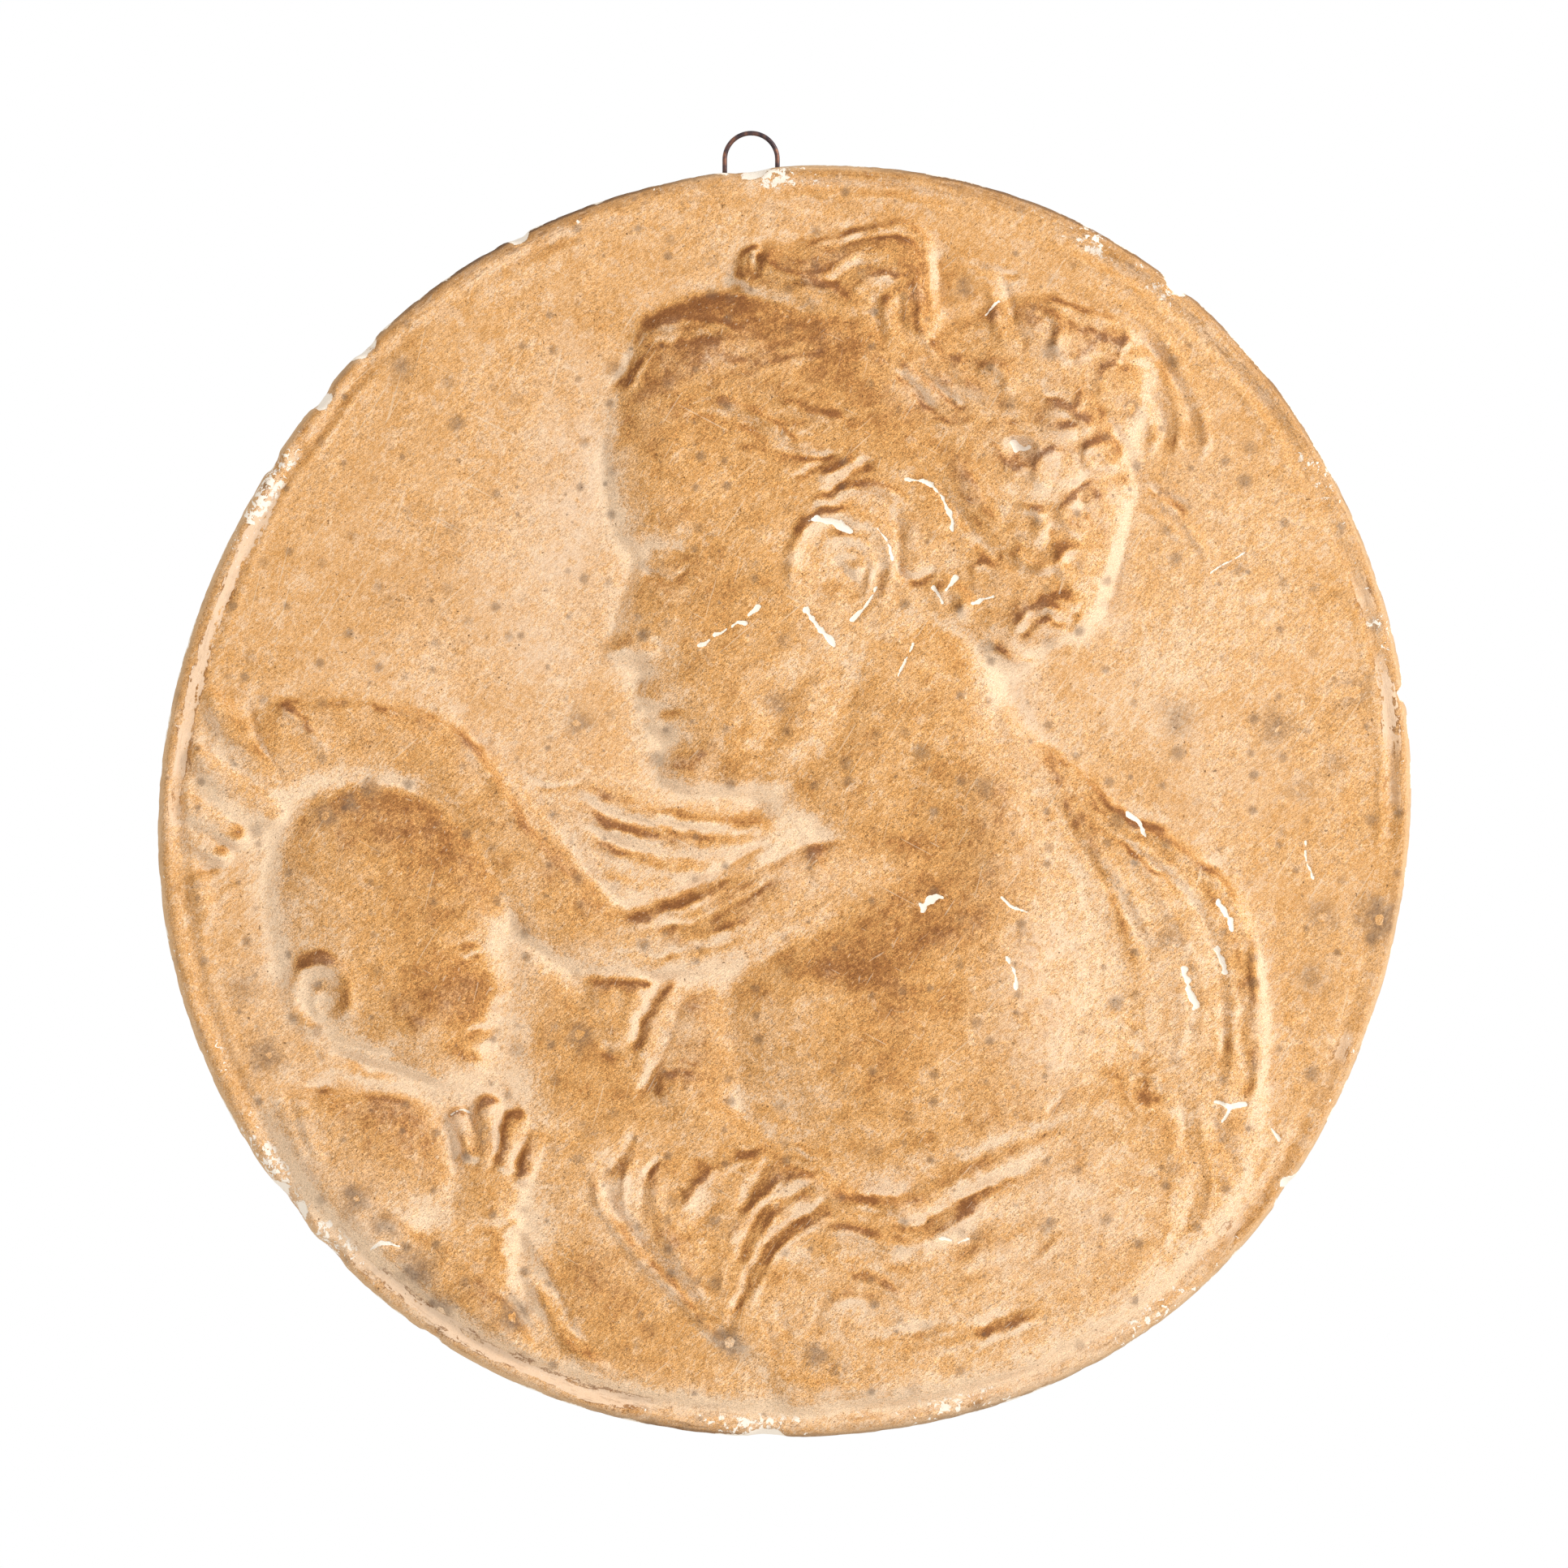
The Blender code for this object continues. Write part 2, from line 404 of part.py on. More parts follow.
def dress(clay):
    # Skirt and bodice below the bare back
    clay.mass([(-31, -58), (-25, -53), (-14, -54), (-5, -52.5), (3, -57), (10, -61), (24, -60), (40, -54.5),
               (47, -49), (53, -43), (61, -47), (66, -58), (62, -70), (56, -80), (44, -90), (26, -99),
               (2, -101),
               (-6, -92), (-10.5, -87), (-15, -82), (-22, -75), (-28, -68)], 2.8, 5.5, blend=0.8)
    clay.swell((5, -59), (9, 5), 1.0, turn=-30)
    clay.swell((24, -77), (22, 9), 0.7, turn=12)
    clay.swell((47, -66), (8, 16), 0.5, turn=-15)
    # The hem that crosses the back in two rolls, with a small leaf-shaped fold in its middle
    clay.strokes(((1.29, 1.44, (-5, -53.6), (0, -56.8), (6, -60.8), (11, -63.4), (17, -63.6), (24, -61),
                   (32, -57.6), (41, -54)),
                  (-1.01, 0.68, (14, -66.2), (20, -66.2), (25, -63.4), (31, -60.4), (38, -57.6)),
                  (1.06, 0.88, (3, -65.5), (9, -67.5), (16, -69.6), (21, -69), (27, -65.6), (33, -62)),
                  (-0.67, 1.36, (6, -70.4), (13, -72.6), (20, -72), (28, -68.4), (36, -63.6)),
                  (0.78, 0.48, (9.6, -62.2), (14, -62.9), (18.6, -63.8)),
                  (-0.56, 0.41, (10, -64.2), (14, -64.8), (18, -65.2)),
                  (-0.56, 0.95, (17, -59.4), (25, -57), (34, -53.6), (44, -50.2), (50, -47.6))))
    # Drape that falls to a point at the left
    clay.strokes(((1.01, 0.75, (-31, -57), (-30, -63.4), (-26.4, -68.6), (-20.6, -74.4), (-14.6, -80.6),
                   (-9.8, -86)),
                  (-1.01, 0.75, (-28.8, -59.6), (-27.4, -64.6), (-23.6, -69.4), (-18, -74.6), (-12.6, -81)),
                  (0.56, 0.54, (-24.6, -68.8), (-18.8, -73.6), (-14, -79), (-11.2, -82)),
                  (-0.84, 0.54, (-20.6, -55.4), (-22.8, -60), (-23.5, -66.4)),
                  (0.67, 0.61, (-24, -54), (-25.6, -60), (-25.8, -66)),
                  (-0.56, 0.54, (-24.4, -52), (-27, -56.6), (-28, -59)),
                  (0.62, 0.82, (-21, -58), (-20.4, -66), (-16.6, -73), (-12, -79)),
                  (0.67, 0.61, (-17, -64), (-14.4, -60), (-10, -57.4), (-5, -55)),
                  (-0.56, 0.48, (-9.4, -55), (-7, -54.6), (-5, -54.6))), taper=0.15)
    clay.swell((-13.6, -64.4), (5.5, 3.2), -1.15, turn=52)
    clay.swell((-17, -71), (4, 6), 0.5, turn=20)
    # Folds gathered at the breast
    clay.strokes(((-0.87, 0.88, (-2.6, -55.8), (-5.4, -59.6), (-8, -64.4)),
                  (0.7, 0.75, (-0.6, -57.6), (-4, -62), (-7.6, -66.6), (-9.6, -71)),
                  (-0.79, 0.54, (-3.4, -62), (-5.8, -67), (-8.4, -73)),
                  (0.61, 0.48, (-1.6, -63.6), (-4.2, -68.6), (-7, -74)),
                  (-0.87, 0.54, (7.4, -61.8), (2, -64.4), (-2, -67.8), (-5.6, -73), (-8, -78.4),
                   (-10, -84)),
                  (0.66, 0.54, (8.6, -63.8), (3.4, -66.2), (-0.6, -69.4), (-4, -74.6), (-6.4, -80)),
                  (-0.61, 0.48, (5, -60.2), (1, -61.2), (-2.4, -62.8)),
                  (0.52, 0.41, (3.6, -59), (0.6, -59.6), (-1.8, -60.8)),
                  (-0.52, 0.41, (4.6, -58.6), (1.6, -57.4), (-0.8, -56.8)),
                  (0.44, 0.41, (6, -61.8), (1.4, -62.8), (-2, -65)),
                  (0.35, 0.61, (-11, -68), (-10, -73), (-10.4, -79))), taper=0.18)
    # Long soft folds of the skirt
    clay.strokes(((0.67, 0.54, (10, -75), (14, -75.9), (18.4, -78.8)),
                  (-0.62, 0.54, (9.4, -73.6), (14, -74.2), (17.6, -76.6)),
                  (0.5, 1.02, (3, -80.6), (8, -77.6), (15, -78.8), (21, -80)),
                  (-0.56, 0.61, (4, -84), (4.4, -79.6), (7.4, -77)),
                  (-0.56, 0.75, (-2.4, -78), (-1.6, -81.6), (0.4, -84)),
                  (-0.45, 0.61, (-4, -80), (-3.4, -84), (-1.8, -87)),
                  (-0.5, 1.7, (-1.6, -75), (1, -72.6), (3.6, -70.4)),
                  (0.56, 0.61, (29, -85), (35, -82.8), (40.6, -80)),
                  (-0.45, 0.82, (28, -82.6), (33, -81), (38, -78.4)),
                  (0.34, 0.82, (14, -87), (24, -85.6), (32, -83)),
                  (-0.34, 0.75, (10, -84), (20, -83), (28, -80.6)),
                  (0.34, 1.02, (26, -72), (34, -69.6), (42, -64.6)),
                  (-0.28, 0.82, (24, -75), (33, -73), (42, -68.6)),
                  (0.39, 0.68, (-4, -90), (8, -92.4), (20, -91.6)),
                  (0.34, 0.54, (37, -73), (40, -71), (43, -67)),
                  (-0.34, 1.02, (0, -94.6), (14, -94.4), (26, -92))))


def shawl(clay):
    clay.mass([(33, 16), (40, 9.5), (47, 4.5), (53, -1.6), (60, -5), (66, -9.5), (71, -14.5), (74, -22),
               (76, -32),
               (75.5, -44), (74, -56), (70, -66), (64, -74), (55, -82), (44, -80), (46, -64), (51, -54),
               (54, -44),
               (51, -30), (45, -14), (38, -2), (32, 8)], 2.1, 4.8, blend=1.0)
    # The rolled outer edge and a second line inside it
    clay.strokes(((0.84, 0.68, (39, 9), (47, 3.6), (53, -2.4), (59, -5.8), (65, -10), (70, -15.5),
                   (72.6, -22), (73.6, -32),
                   (73.6, -42), (72, -52)),
                  (-0.73, 0.68, (43, 3), (50, -4), (57, -9.4), (63, -14.6), (66.8, -22), (68.4, -32),
                   (67.6, -44)),
                  (-0.45, 0.61, (55, -6.2), (61, -9.6), (66.4, -14.6)),
                  (-0.5, 0.7, (71, -30), (71.4, -38), (72.4, -46)),
                  (-0.56, 0.61, (74.6, -24), (75.8, -34), (75.2, -46)),
                  (0.4, 0.8, (47, -5), (53, -13), (58, -22)), (0.5, 0.7, (61, -27), (62.4, -34), (61, -41)),
                  (-0.56, 0.68, (40, 3), (47.6, -9), (54.6, -20), (58.4, -30)),
                  (0.45, 0.82, (56, -11), (61.6, -19), (65, -28), (65, -40)),
                  (0.39, 0.61, (46, 0), (53, -7), (59, -12.6)),
                  (-0.39, 0.54, (49, -10), (54.4, -17.4), (58, -25)),
                  (0.39, 0.54, (68.6, -20), (70, -30), (69.6, -42), (68, -52))), taper=0.15)
    # Gathers where it is bunched at the waist
    clay.strokes(((0.45, 0.7, (53.4, -41.6), (56, -42.2), (59, -43.4)),
                  (-0.5, 0.5, (54.4, -44.2), (57, -45), (60, -45.6)),
                  (0.4, 0.7, (54.6, -47.4), (57.4, -48.6), (59.6, -51.4)),
                  (-0.4, 0.5, (53.4, -49.4), (55.6, -51.2), (57.6, -54)),
                  (0.35, 0.8, (52, -34.6), (55, -35.8), (58.4, -36)),
                  (-0.3, 0.6, (53, -37.6), (56, -38.6), (59, -38.4)),
                  (0.35, 0.7, (49.8, -51.2), (53, -52.8), (56, -55.4))))
    clay.strokes(((-0.67, 1.61, (44, -82), (48.6, -78), (52, -72.6), (53, -66), (57.4, -58.4)),
                  (0.67, 0.61, (49.4, -75.6), (50.2, -68), (48.6, -60), (47.4, -53)),
                  (0.67, 0.61, (53.4, -71), (55.6, -63.6), (58.4, -57)),
                  (-0.56, 0.54, (55.4, -74), (58, -66), (59, -58)),
                  (0.67, 0.68, (56.8, -74), (59.6, -66), (60.4, -57), (60, -48)),
                  (-0.73, 0.54, (60.4, -71), (63, -63), (62.4, -51), (61.6, -43)),
                  (0.56, 0.75, (63.6, -70), (66, -62), (65, -50), (63, -41)),
                  (-0.56, 0.61, (66, -48), (69.2, -55), (70.4, -61)),
                  (0.45, 0.61, (67.6, -44), (70.6, -52), (72, -58)),
                  (0.39, 0.61, (65, -72), (70, -66), (73, -58)),
                  (0.45, 0.82, (43, -74), (46.6, -68), (45.6, -58)),
                  (-0.45, 0.68, (46, -78), (48.4, -70), (47.4, -62)),
                  (-0.45, 0.61, (50, -51), (54, -53), (56.6, -55.6)),
                  (0.45, 0.54, (49, -54), (53, -56), (55, -60))))


def head(clay):
    third = 20.8
    side = profile((-30.5, 62.5), 11, third, WOMAN, -1)
    clay.mass(side + [(-6, 2), (0, 8), (4, 16), (14, 20), (26, 24), (34, 22), (44, 34), (48, 50),
                      (44, 66), (30, 74),
                      (14, 80), (-2, 81.5), (-14, 79.5), (-23, 75.5), (-26, 69.5)], 3.6, 12, firm=0.75)
    clay.swell((-4, 34), (18, 22), 0.7)
    clay.swell((-8, 17), (10, 12), 0.4)
    clay.swell((-20, 54), (10, 10), 0.45)
    # Edge of the jaw, from the chin back to below the ear
    clay.strokes(((0.5, 2.04, (-13, 3), (-5, 6), (1, 12), (4.5, 20), (5, 27)),
                  (-0.9, 2.55, (-14, -1.5), (-3, .5), (5, 8), (9.5, 16), (10, 25))))
    c, s = math.cos(math.radians(11)), math.sin(math.radians(11))

    def at(down, back):
        return (-30.5 + third * (back * c + down * s), 62.5 + third * (back * s - down * c))

    # Brow, lowered lid, nostril and lips, each on its line in the thirds
    clay.swell(at(1.0, .36), (8, 2.4), 0.40, turn=14)
    clay.swell(at(1.22, .27), (6.6, 3.8), -1.0, turn=8)
    clay.swell(at(1.27, .27), (4.0, 2.5), 0.95, turn=5)
    clay.strokes(((-0.55, 0.55, at(1.27, .09), at(1.345, .20), at(1.35, .34), at(1.29, .47)),
                  (-0.35, 0.5, at(1.17, .12), at(1.12, .25), at(1.16, .40), at(1.23, .50)),
                  (0.2, 0.9, at(1.44, .14), at(1.49, .28), at(1.43, .44))), taper=0.2)
    clay.swell(at(1.90, .01), (2.3, 1.8), 0.75)
    clay.strokes(((-0.45, 0.6, at(1.97, .11), at(1.88, .13), at(1.80, .08)),
                  (-0.6, 0.6, at(1.985, -.09), at(2.0, .0)),
                  (-0.75, 0.55, at(2.355, -.03), at(2.345, .09), at(2.375, .20)),
                  (-0.2, 0.8, at(2.04, -.03), at(2.14, -.05))), taper=0.2)
    clay.swell(at(2.27, .05), (3.2, 1.3), 0.50, turn=11)
    clay.swell(at(2.45, .04), (2.9, 1.4), 0.55, turn=11)
    clay.swell(at(2.38, .23), (1.5, 1.5), -0.35)
    clay.swell(at(2.60, .08), (3.2, 1.5), -0.35)
    clay.swell(at(2.84, .12), (4.4, 3.6), 0.55)
    clay.swell(at(2.05, .45), (6.5, 8), 0.35)


def ear(clay):
    # A broad round ear that stands in its own hollow
    clay.swell((8, 37), (10, 11), -0.8)
    clay.stroke([(3.2, 30.4), (0.4, 34.6), (0.6, 40), (3.6, 44.2), (8.8, 45.4), (13.6, 43.4), (16.2, 39),
                 (15.4, 33.6),
                 (12.4, 29.8), (9, 28.6)], 1.0, 0.85, taper=0.25)
    clay.strokes(((0.8, 0.61, (4.8, 40.6), (8.2, 42.2), (11.6, 40.6), (13.2, 37), (12, 33), (9.2, 31.4)),
                  (0.56, 0.61, (8.6, 40), (11, 38.6), (11.4, 36)),
                  (-0.56, 0.54, (6.6, 39), (9, 36.4), (10.6, 34.2))))
    clay.swell((10.6, 36.4), (2.2, 2.2), 0.7)
    clay.swell((6.8, 32.8), (2.6, 2.4), 0.6)
    # A rounded lock behind it
    clay.swell((21, 42), (4.6, 7), 0.7, turn=-12)
    clay.strokes(((-0.9, 0.68, (15.6, 47), (17.6, 43.4), (17.2, 38.6), (18.4, 35.2), (22, 36.2),
                   (25, 40.4)),
                  (0.34, 0.48, (19.4, 45), (20, 40.6), (21.8, 38)),
                  (-0.34, 0.34, (20.8, 51.6), (23.4, 48.4), (25.6, 43.6))))


def hair(clay):
    # Hair swept up over the head, from the brow to the bun
    clay.mass([(-28.4, 62), (-27.2, 66.5), (-24.5, 71.5), (-23, 76), (-18, 78.8), (-10, 80.6), (-3, 81),
               (6, 83),
               (16, 81), (24, 76), (32, 79), (40, 80.5), (48, 78), (54, 74), (58, 68), (56, 60), (54, 54),
               (54.5, 47), (51.5, 37), (48.6, 29), (41, 23.5), (34, 21), (29, 26), (23, 32), (18, 40),
               (13, 48), (4, 50),
               (-3, 53.5), (-12, 56), (-22, 59)], 4.0, 13, blend=1.0, firm=0.8)
    clay.swell((2, 68), (22, 11), 0.6, turn=4)
    clay.swell((41, 50), (12, 22), 0.5, turn=10)
    clay.swell((23, 58), (6, 8), -0.6, turn=30)
    # Faint combing over the crown
    strands(clay, [(-29, 64), (-23, 71), (-13, 77), (-3, 79)], [(-20, 60), (-10, 65), (2, 69), (14, 71)],
            9, 0.6, 0.15, 6)
    strands(clay, [(-18, 60), (-8, 63), (4, 66), (14, 67)], [(-4, 54.6), (4, 56.4), (12, 58.6), (21, 62)],
            8, 0.6, 0.15, 7)
    # Wave of hair over the brow, and the locks drawn back above the ear
    clay.swell((-17, 76.6), (8, 3), 0.8, turn=14)
    clay.strokes(((0.67, 0.61, (-24, 74.4), (-19, 76.2), (-12, 75.6), (-7, 73.6)),
                  (-0.67, 0.54, (-22.6, 72.4), (-17, 73.6), (-10, 72.6)),
                  (-0.56, 0.54, (-28.6, 65), (-25.6, 69), (-24.6, 72.4)),
                  (0.45, 0.54, (-27, 64), (-23.6, 68.6), (-21.6, 71.4)),
                  (-0.56, 0.61, (-16, 61.2), (-10.6, 61.6), (-5.6, 59.2), (-2, 56.8)),
                  (0.56, 0.61, (-14, 63), (-8.6, 62.8), (-3.6, 60.4), (1, 57.2), (8, 56.2)),
                  (-0.67, 0.48, (-3, 56.2), (2.4, 55), (8.6, 55)),
                  (-0.45, 0.88, (-12, 71.6), (-8, 71), (-5, 70)),
                  (0.78, 0.61, (4, 50.4), (7.6, 52.8), (11.6, 54.2)),
                  (-1.01, 0.61, (4.4, 47.6), (8.6, 51.2), (14, 54.8)),
                  (0.9, 0.75, (1.6, 46.6), (8, 48.8), (14.6, 49.8), (19.4, 47.4)),
                  (-0.56, 0.54, (-1, 51), (3, 52.6), (6, 54)),
                  (0.39, 0.61, (-9, 56.6), (-4, 54.6), (1, 52.8)),
                  (0.45, 0.54, (-2, 63.6), (2, 62.4), (8.6, 60.4)),
                  (-0.39, 0.34, (7, 63), (8.6, 61.4), (10.2, 60.4))))
    clay.swell((-5.4, 63.2), (3.6, 2), -0.35)
    # Feathered locks that come down from the crown
    clay.strokes(((-1.01, 0.48, (16, 68.8), (18.6, 66.4), (21.4, 63.4), (24, 61.4)),
                  (0.67, 0.41, (17.6, 69.6), (20.4, 66.6), (23.6, 64)),
                  (-0.9, 0.48, (19.4, 69.4), (22.6, 66.4), (26.8, 63)),
                  (0.56, 0.41, (21.6, 69), (24, 66.8), (26.6, 64.8)),
                  (-0.67, 0.48, (24.6, 64), (26.6, 63), (28.4, 62.6)),
                  (0.56, 0.75, (22, 60.6), (26.4, 59.6), (30, 60.8))))


def topknot(clay):
    clay.mass([(-8.6, 83.5), (-6.5, 87.5), (0, 88), (5, 89), (10, 90.6), (15, 91.8), (19.4, 91.2),
               (22, 88.4),
               (22.8, 84), (23, 79.5), (25, 74), (21, 70), (12, 72), (2, 75), (-4, 78.4), (-7.6, 80.5)],
              3.5, 6, blend=0.9, firm=0.8)
    # The curl at its front, the thin roll that edges it, and its twisted strands
    clay.strokes(((0.67, 0.61, (-4.6, 88.4), (-7.6, 86.2), (-8, 83.6), (-6.2, 81.4), (-3.4, 80.6)),
                  (-0.9, 0.48, (-4, 87.6), (-5.6, 85), (-5, 82.6)),
                  (0.9, 0.54, (-1.8, 88), (-3.8, 86), (-2.8, 84.2), (0.4, 83), (4.4, 81.8), (8.6, 80.2)),
                  (-0.67, 0.61, (-1.4, 85.8), (1.4, 85.6), (4, 86.4)),
                  (0.9, 0.48, (0, 87.8), (5.4, 88.3), (10, 89.9), (15, 91.2), (19, 90.8), (21.6, 88.6),
                   (22.4, 85.6)),
                  (-0.78, 0.41, (5, 87), (10, 88.4), (14.6, 89.9), (18.4, 89.7), (20.2, 87.8), (20.6, 85)),
                  (0.56, 0.61, (1, 81.6), (6.6, 84), (11, 86.8), (16, 87.6)),
                  (-0.56, 0.54, (6, 82), (10, 84.4), (15, 85.4)),
                  (0.56, 0.54, (9.6, 81), (13.6, 83), (17.6, 83)),
                  (-0.67, 0.54, (12.8, 80.4), (13.2, 76.6), (14.6, 72.6)),
                  (0.67, 0.61, (14.8, 80.6), (15, 76), (17, 71.6)),
                  (-0.67, 0.54, (16.8, 80), (17.2, 75.6), (19.4, 71.6)),
                  (0.78, 0.61, (19.4, 85), (20, 79.6), (21, 74.6), (24, 70.4)),
                  (-0.56, 0.54, (22.8, 87), (23.2, 82), (23, 77)),
                  (0.45, 0.95, (25.4, 84), (26, 79), (28.4, 73.6)),
                  (-0.56, 0.61, (33, 84.4), (34.6, 80), (35.6, 75), (37.4, 71.4)),
                  (0.45, 0.82, (31.6, 82), (32.4, 77), (33.6, 72)),
                  (-0.45, 0.61, (28, 86), (33, 84.2), (37, 83.2)),
                  (0.34, 0.95, (26, 71), (28, 66), (30.6, 63))), taper=0.15)


def curls(clay):
    # The bun: loose lobes with hollows between them, packed round one deep hole
    chance = np.random.default_rng(8)
    for x, z, wide, tall, turn in ((46, 73.4, 4.2, 3.4, 10), (52, 74.4, 3.2, 3.6, 60),
                                   (40, 74.6, 3.0, 4.4, 0),
                                   (43.6, 65, 4.4, 3.2, 150), (52.6, 66.6, 3.8, 3.6, 30),
                                   (33.6, 66, 3.8, 4.6, 20),
                                   (43.6, 60, 4.6, 2.8, 170), (49.4, 55.4, 3.6, 3.0, 150),
                                   (41.6, 52.4, 4.2, 3.6, 40),
                                   (38, 44.4, 3.6, 3.2, 120), (45, 45.6, 3.6, 4.4, 70),
                                   (38.6, 38.6, 4.0, 2.8, 10),
                                   (45.4, 37.4, 3.2, 3.8, 50), (38.8, 29.4, 4.6, 2.6, 15),
                                   (44.8, 30.4, 3.0, 3.4, 60),
                                   (30.6, 47.6, 2.4, 7.0, 36), (26.4, 31.6, 3.4, 3.0, 100),
                                   (32, 36, 3.2, 2.6, 150)):
        clay.swell((x, z), (wide * 1.25, tall * 1.25), 0.75, turn=turn)
        start = chance.uniform(0, 360)
        sweep = chance.uniform(130, 250) * (1 if chance.random() < 0.5 else -1)
        curl(clay, (x + chance.normal(0, .4), z + chance.normal(0, .4)), (wide * .85, tall * .85), turn,
             start, sweep,
             chance.uniform(0.6, 0.95), chance.uniform(0.45, 0.85))
    clay.swell((36.4, 55.8), (3.4, 2.8), -2.2, turn=-20)
    clay.strokes(((0.78, 0.54, (32.6, 57), (35.6, 58.2), (38.8, 57), (39.6, 54.4)),
                  (0.56, 0.54, (33, 54.6), (35.6, 52.8), (38.4, 53)),
                  (0.78, 0.75, (25, 55.4), (28.4, 49.8), (32.6, 42.6)),
                  (-0.9, 0.48, (28.2, 53), (31, 48.8), (34.8, 43.6)),
                  (-0.67, 0.54, (22.6, 51), (25.6, 47), (29.6, 41.6)),
                  (-0.67, 0.75, (28, 42.4), (32.6, 39.2), (37, 37)),
                  (0.67, 0.54, (36, 41.4), (36.8, 38.2), (39.8, 37.2), (42.4, 39.4)),
                  (-0.67, 0.41, (40, 45.4), (41.6, 42.2)),
                  (0.67, 0.68, (36, 46.8), (39, 45.4), (38.2, 41.6)),
                  (0.67, 0.88, (39.6, 61.6), (44, 61.2), (48, 58.6)),
                  (0.67, 0.68, (46, 56.6), (49.8, 54.4), (51.4, 52)),
                  (-0.78, 0.61, (43.6, 49), (47.6, 51.8), (52.4, 51.8)),
                  (0.56, 0.68, (47.4, 50), (49.6, 45.6), (50.2, 40), (48.8, 35)),
                  (-0.56, 0.54, (45.6, 50), (46.4, 46), (49, 43)),
                  (-1.01, 0.82, (48.8, 64.6), (51, 59.4), (53.4, 54.4), (54.8, 49.6), (53.8, 44),
                   (52.2, 38), (50.6, 32), (48.6, 27.6)),
                  (0.67, 0.54, (35.4, 27.6), (39, 30.4), (43.4, 30.6)),
                  (0.67, 0.54, (37, 25.4), (40.6, 27.8), (44, 27.6)),
                  (-0.56, 0.41, (36, 26.4), (40, 29), (44, 29)),
                  (0.56, 0.48, (32.6, 24.4), (36, 22.6), (39, 22.4)),
                  (-0.67, 0.48, (43, 27), (44.6, 30), (47, 32.6)),
                  (-0.67, 0.54, (39, 78), (41.4, 75.6), (41, 71.4)),
                  (0.67, 0.48, (40, 80), (43, 78.4), (46.4, 77.4), (49.6, 76.2), (52.4, 76.6)),
                  (-0.67, 0.48, (43.6, 76.6), (46.8, 75.4), (50, 74)),
                  (0.56, 0.48, (52.6, 76), (53.4, 72.6), (51.6, 69.4)),
                  (-0.67, 0.61, (51.6, 68.6), (54.4, 69.4), (57.6, 68)),
                  (-0.45, 0.54, (30, 60), (33, 61), (36, 60.6)),
                  (-0.45, 0.48, (38.6, 67), (41, 64.6), (46, 62.6))), taper=0.2)
    # Loose locks that fly back over the ground
    clay.strokes(((0.78, 0.75, (55, 75), (60.4, 71), (64, 65), (65.8, 58), (64.6, 52)),
                  (-0.67, 0.54, (54, 73.6), (59, 69.6), (62.4, 64), (64, 57.4)),
                  (0.67, 0.68, (57, 70), (60.4, 65.6), (61.6, 59), (60.4, 53)),
                  (-0.56, 0.54, (56, 66.6), (58.8, 62), (59.4, 56)),
                  (0.56, 0.68, (54.6, 64), (57, 60.4), (57.4, 55)),
                  (-0.67, 0.48, (55, 50.6), (59.6, 48.8), (64, 46)),
                  (0.56, 0.54, (56, 49.4), (61, 46.4), (64.4, 41.6), (66, 36.6)),
                  (0.45, 0.54, (55, 47), (59, 45), (62.6, 40.6)),
                  (0.5, 0.61, (52, 77.6), (57.4, 75), (61.6, 70.6)),
                  (0.45, 0.61, (44, 81), (50, 79.4), (55, 76.6)),
                  (0.39, 0.54, (24.6, 88), (30, 85.6), (36, 84.4)),
                  (0.34, 0.61, (51.6, 34), (54, 42), (55.6, 50))))


def rim(clay):
    """The moulded edge: a thin bead, a groove, a rounded land, all worn unevenly."""
    far = np.hypot(clay.u, clay.v) / swerve(np.arctan2(clay.z, clay.x))
    wear = noise(clay.x, clay.z, 15, 21)
    clay.h *= 1 - smooth_step(93, 97, far)
    for place, width, rise in ((94.8, 0.6, 0.26), (96.5, 0.8, -0.30), (98.3, 0.9, 0.5)):
        clay.h += rise * np.clip(0.8 + 0.9 * wear, 0,
                                 2) * np.exp(-(((far - place - 0.5 * wear) / width) ** 2))


def swerve(angle):
    """How far the cast edge strays from a true circle, as a hand-made mould leaves it."""
    return 1 + sum(share * np.cos(lobes * (angle - math.radians(turn)))
                   for lobes, share, turn in OUTLINE_LOBES)


def weather(clay):
    """Handling and a tired mould: folds and locks fade and stand out by turns, and the skin is uneven."""
    soft = Clay(clay.spacing)
    soft.h = clay.h.copy()
    soft.soften(1.7)
    clay.h = soft.h + (clay.h - soft.h) * np.clip(0.95 + 0.6 * noise(clay.x, clay.z, 4.6, 15), 0.3, 1.7)
    handled = smooth_step(0.5, 2.0, clay.h)
    clay.h += handled * (0.10 * noise(clay.x, clay.z, 5.5, 13) + 0.07 * noise(clay.x, clay.z, 2.2, 14)
                         + 0.03 * noise(clay.x, clay.z, 1.2, 16))
    clay.soften(0.28)


def carve(clay):
    clay.h += 0.16 * noise(clay.x, clay.z, 26, 3) + 0.08 * noise(clay.x, clay.z, 11, 4)
    neck_cloth(clay)
    middle(clay)
    body(clay)
    shawl(clay)
    dress(clay)
    arm(clay)
    far_hand(clay)
    child(clay)
    small_hand(clay)
    head(clay)
    hair(clay)
    ear(clay)
    topknot(clay)
    curls(clay)
    weather(clay)
    rim(clay)


def chip_reach(angle):
    """How far the chips reach in from the edge at these angles."""
    turn = np.degrees(angle) % 360
    reach = np.zeros_like(turn)
    for place, half, deep in EDGE_CHIPS:
        away = np.abs((turn - place + 180) % 360 - 180)
        reach = np.maximum(reach, deep * np.exp(-((away / half) ** 4)))
    return reach


def outline_radius(angle):
    """Radius of the cast edge in hundredths of the mean one."""
    return 100 * swerve(angle) - CHIP_BITE * chip_reach(angle)


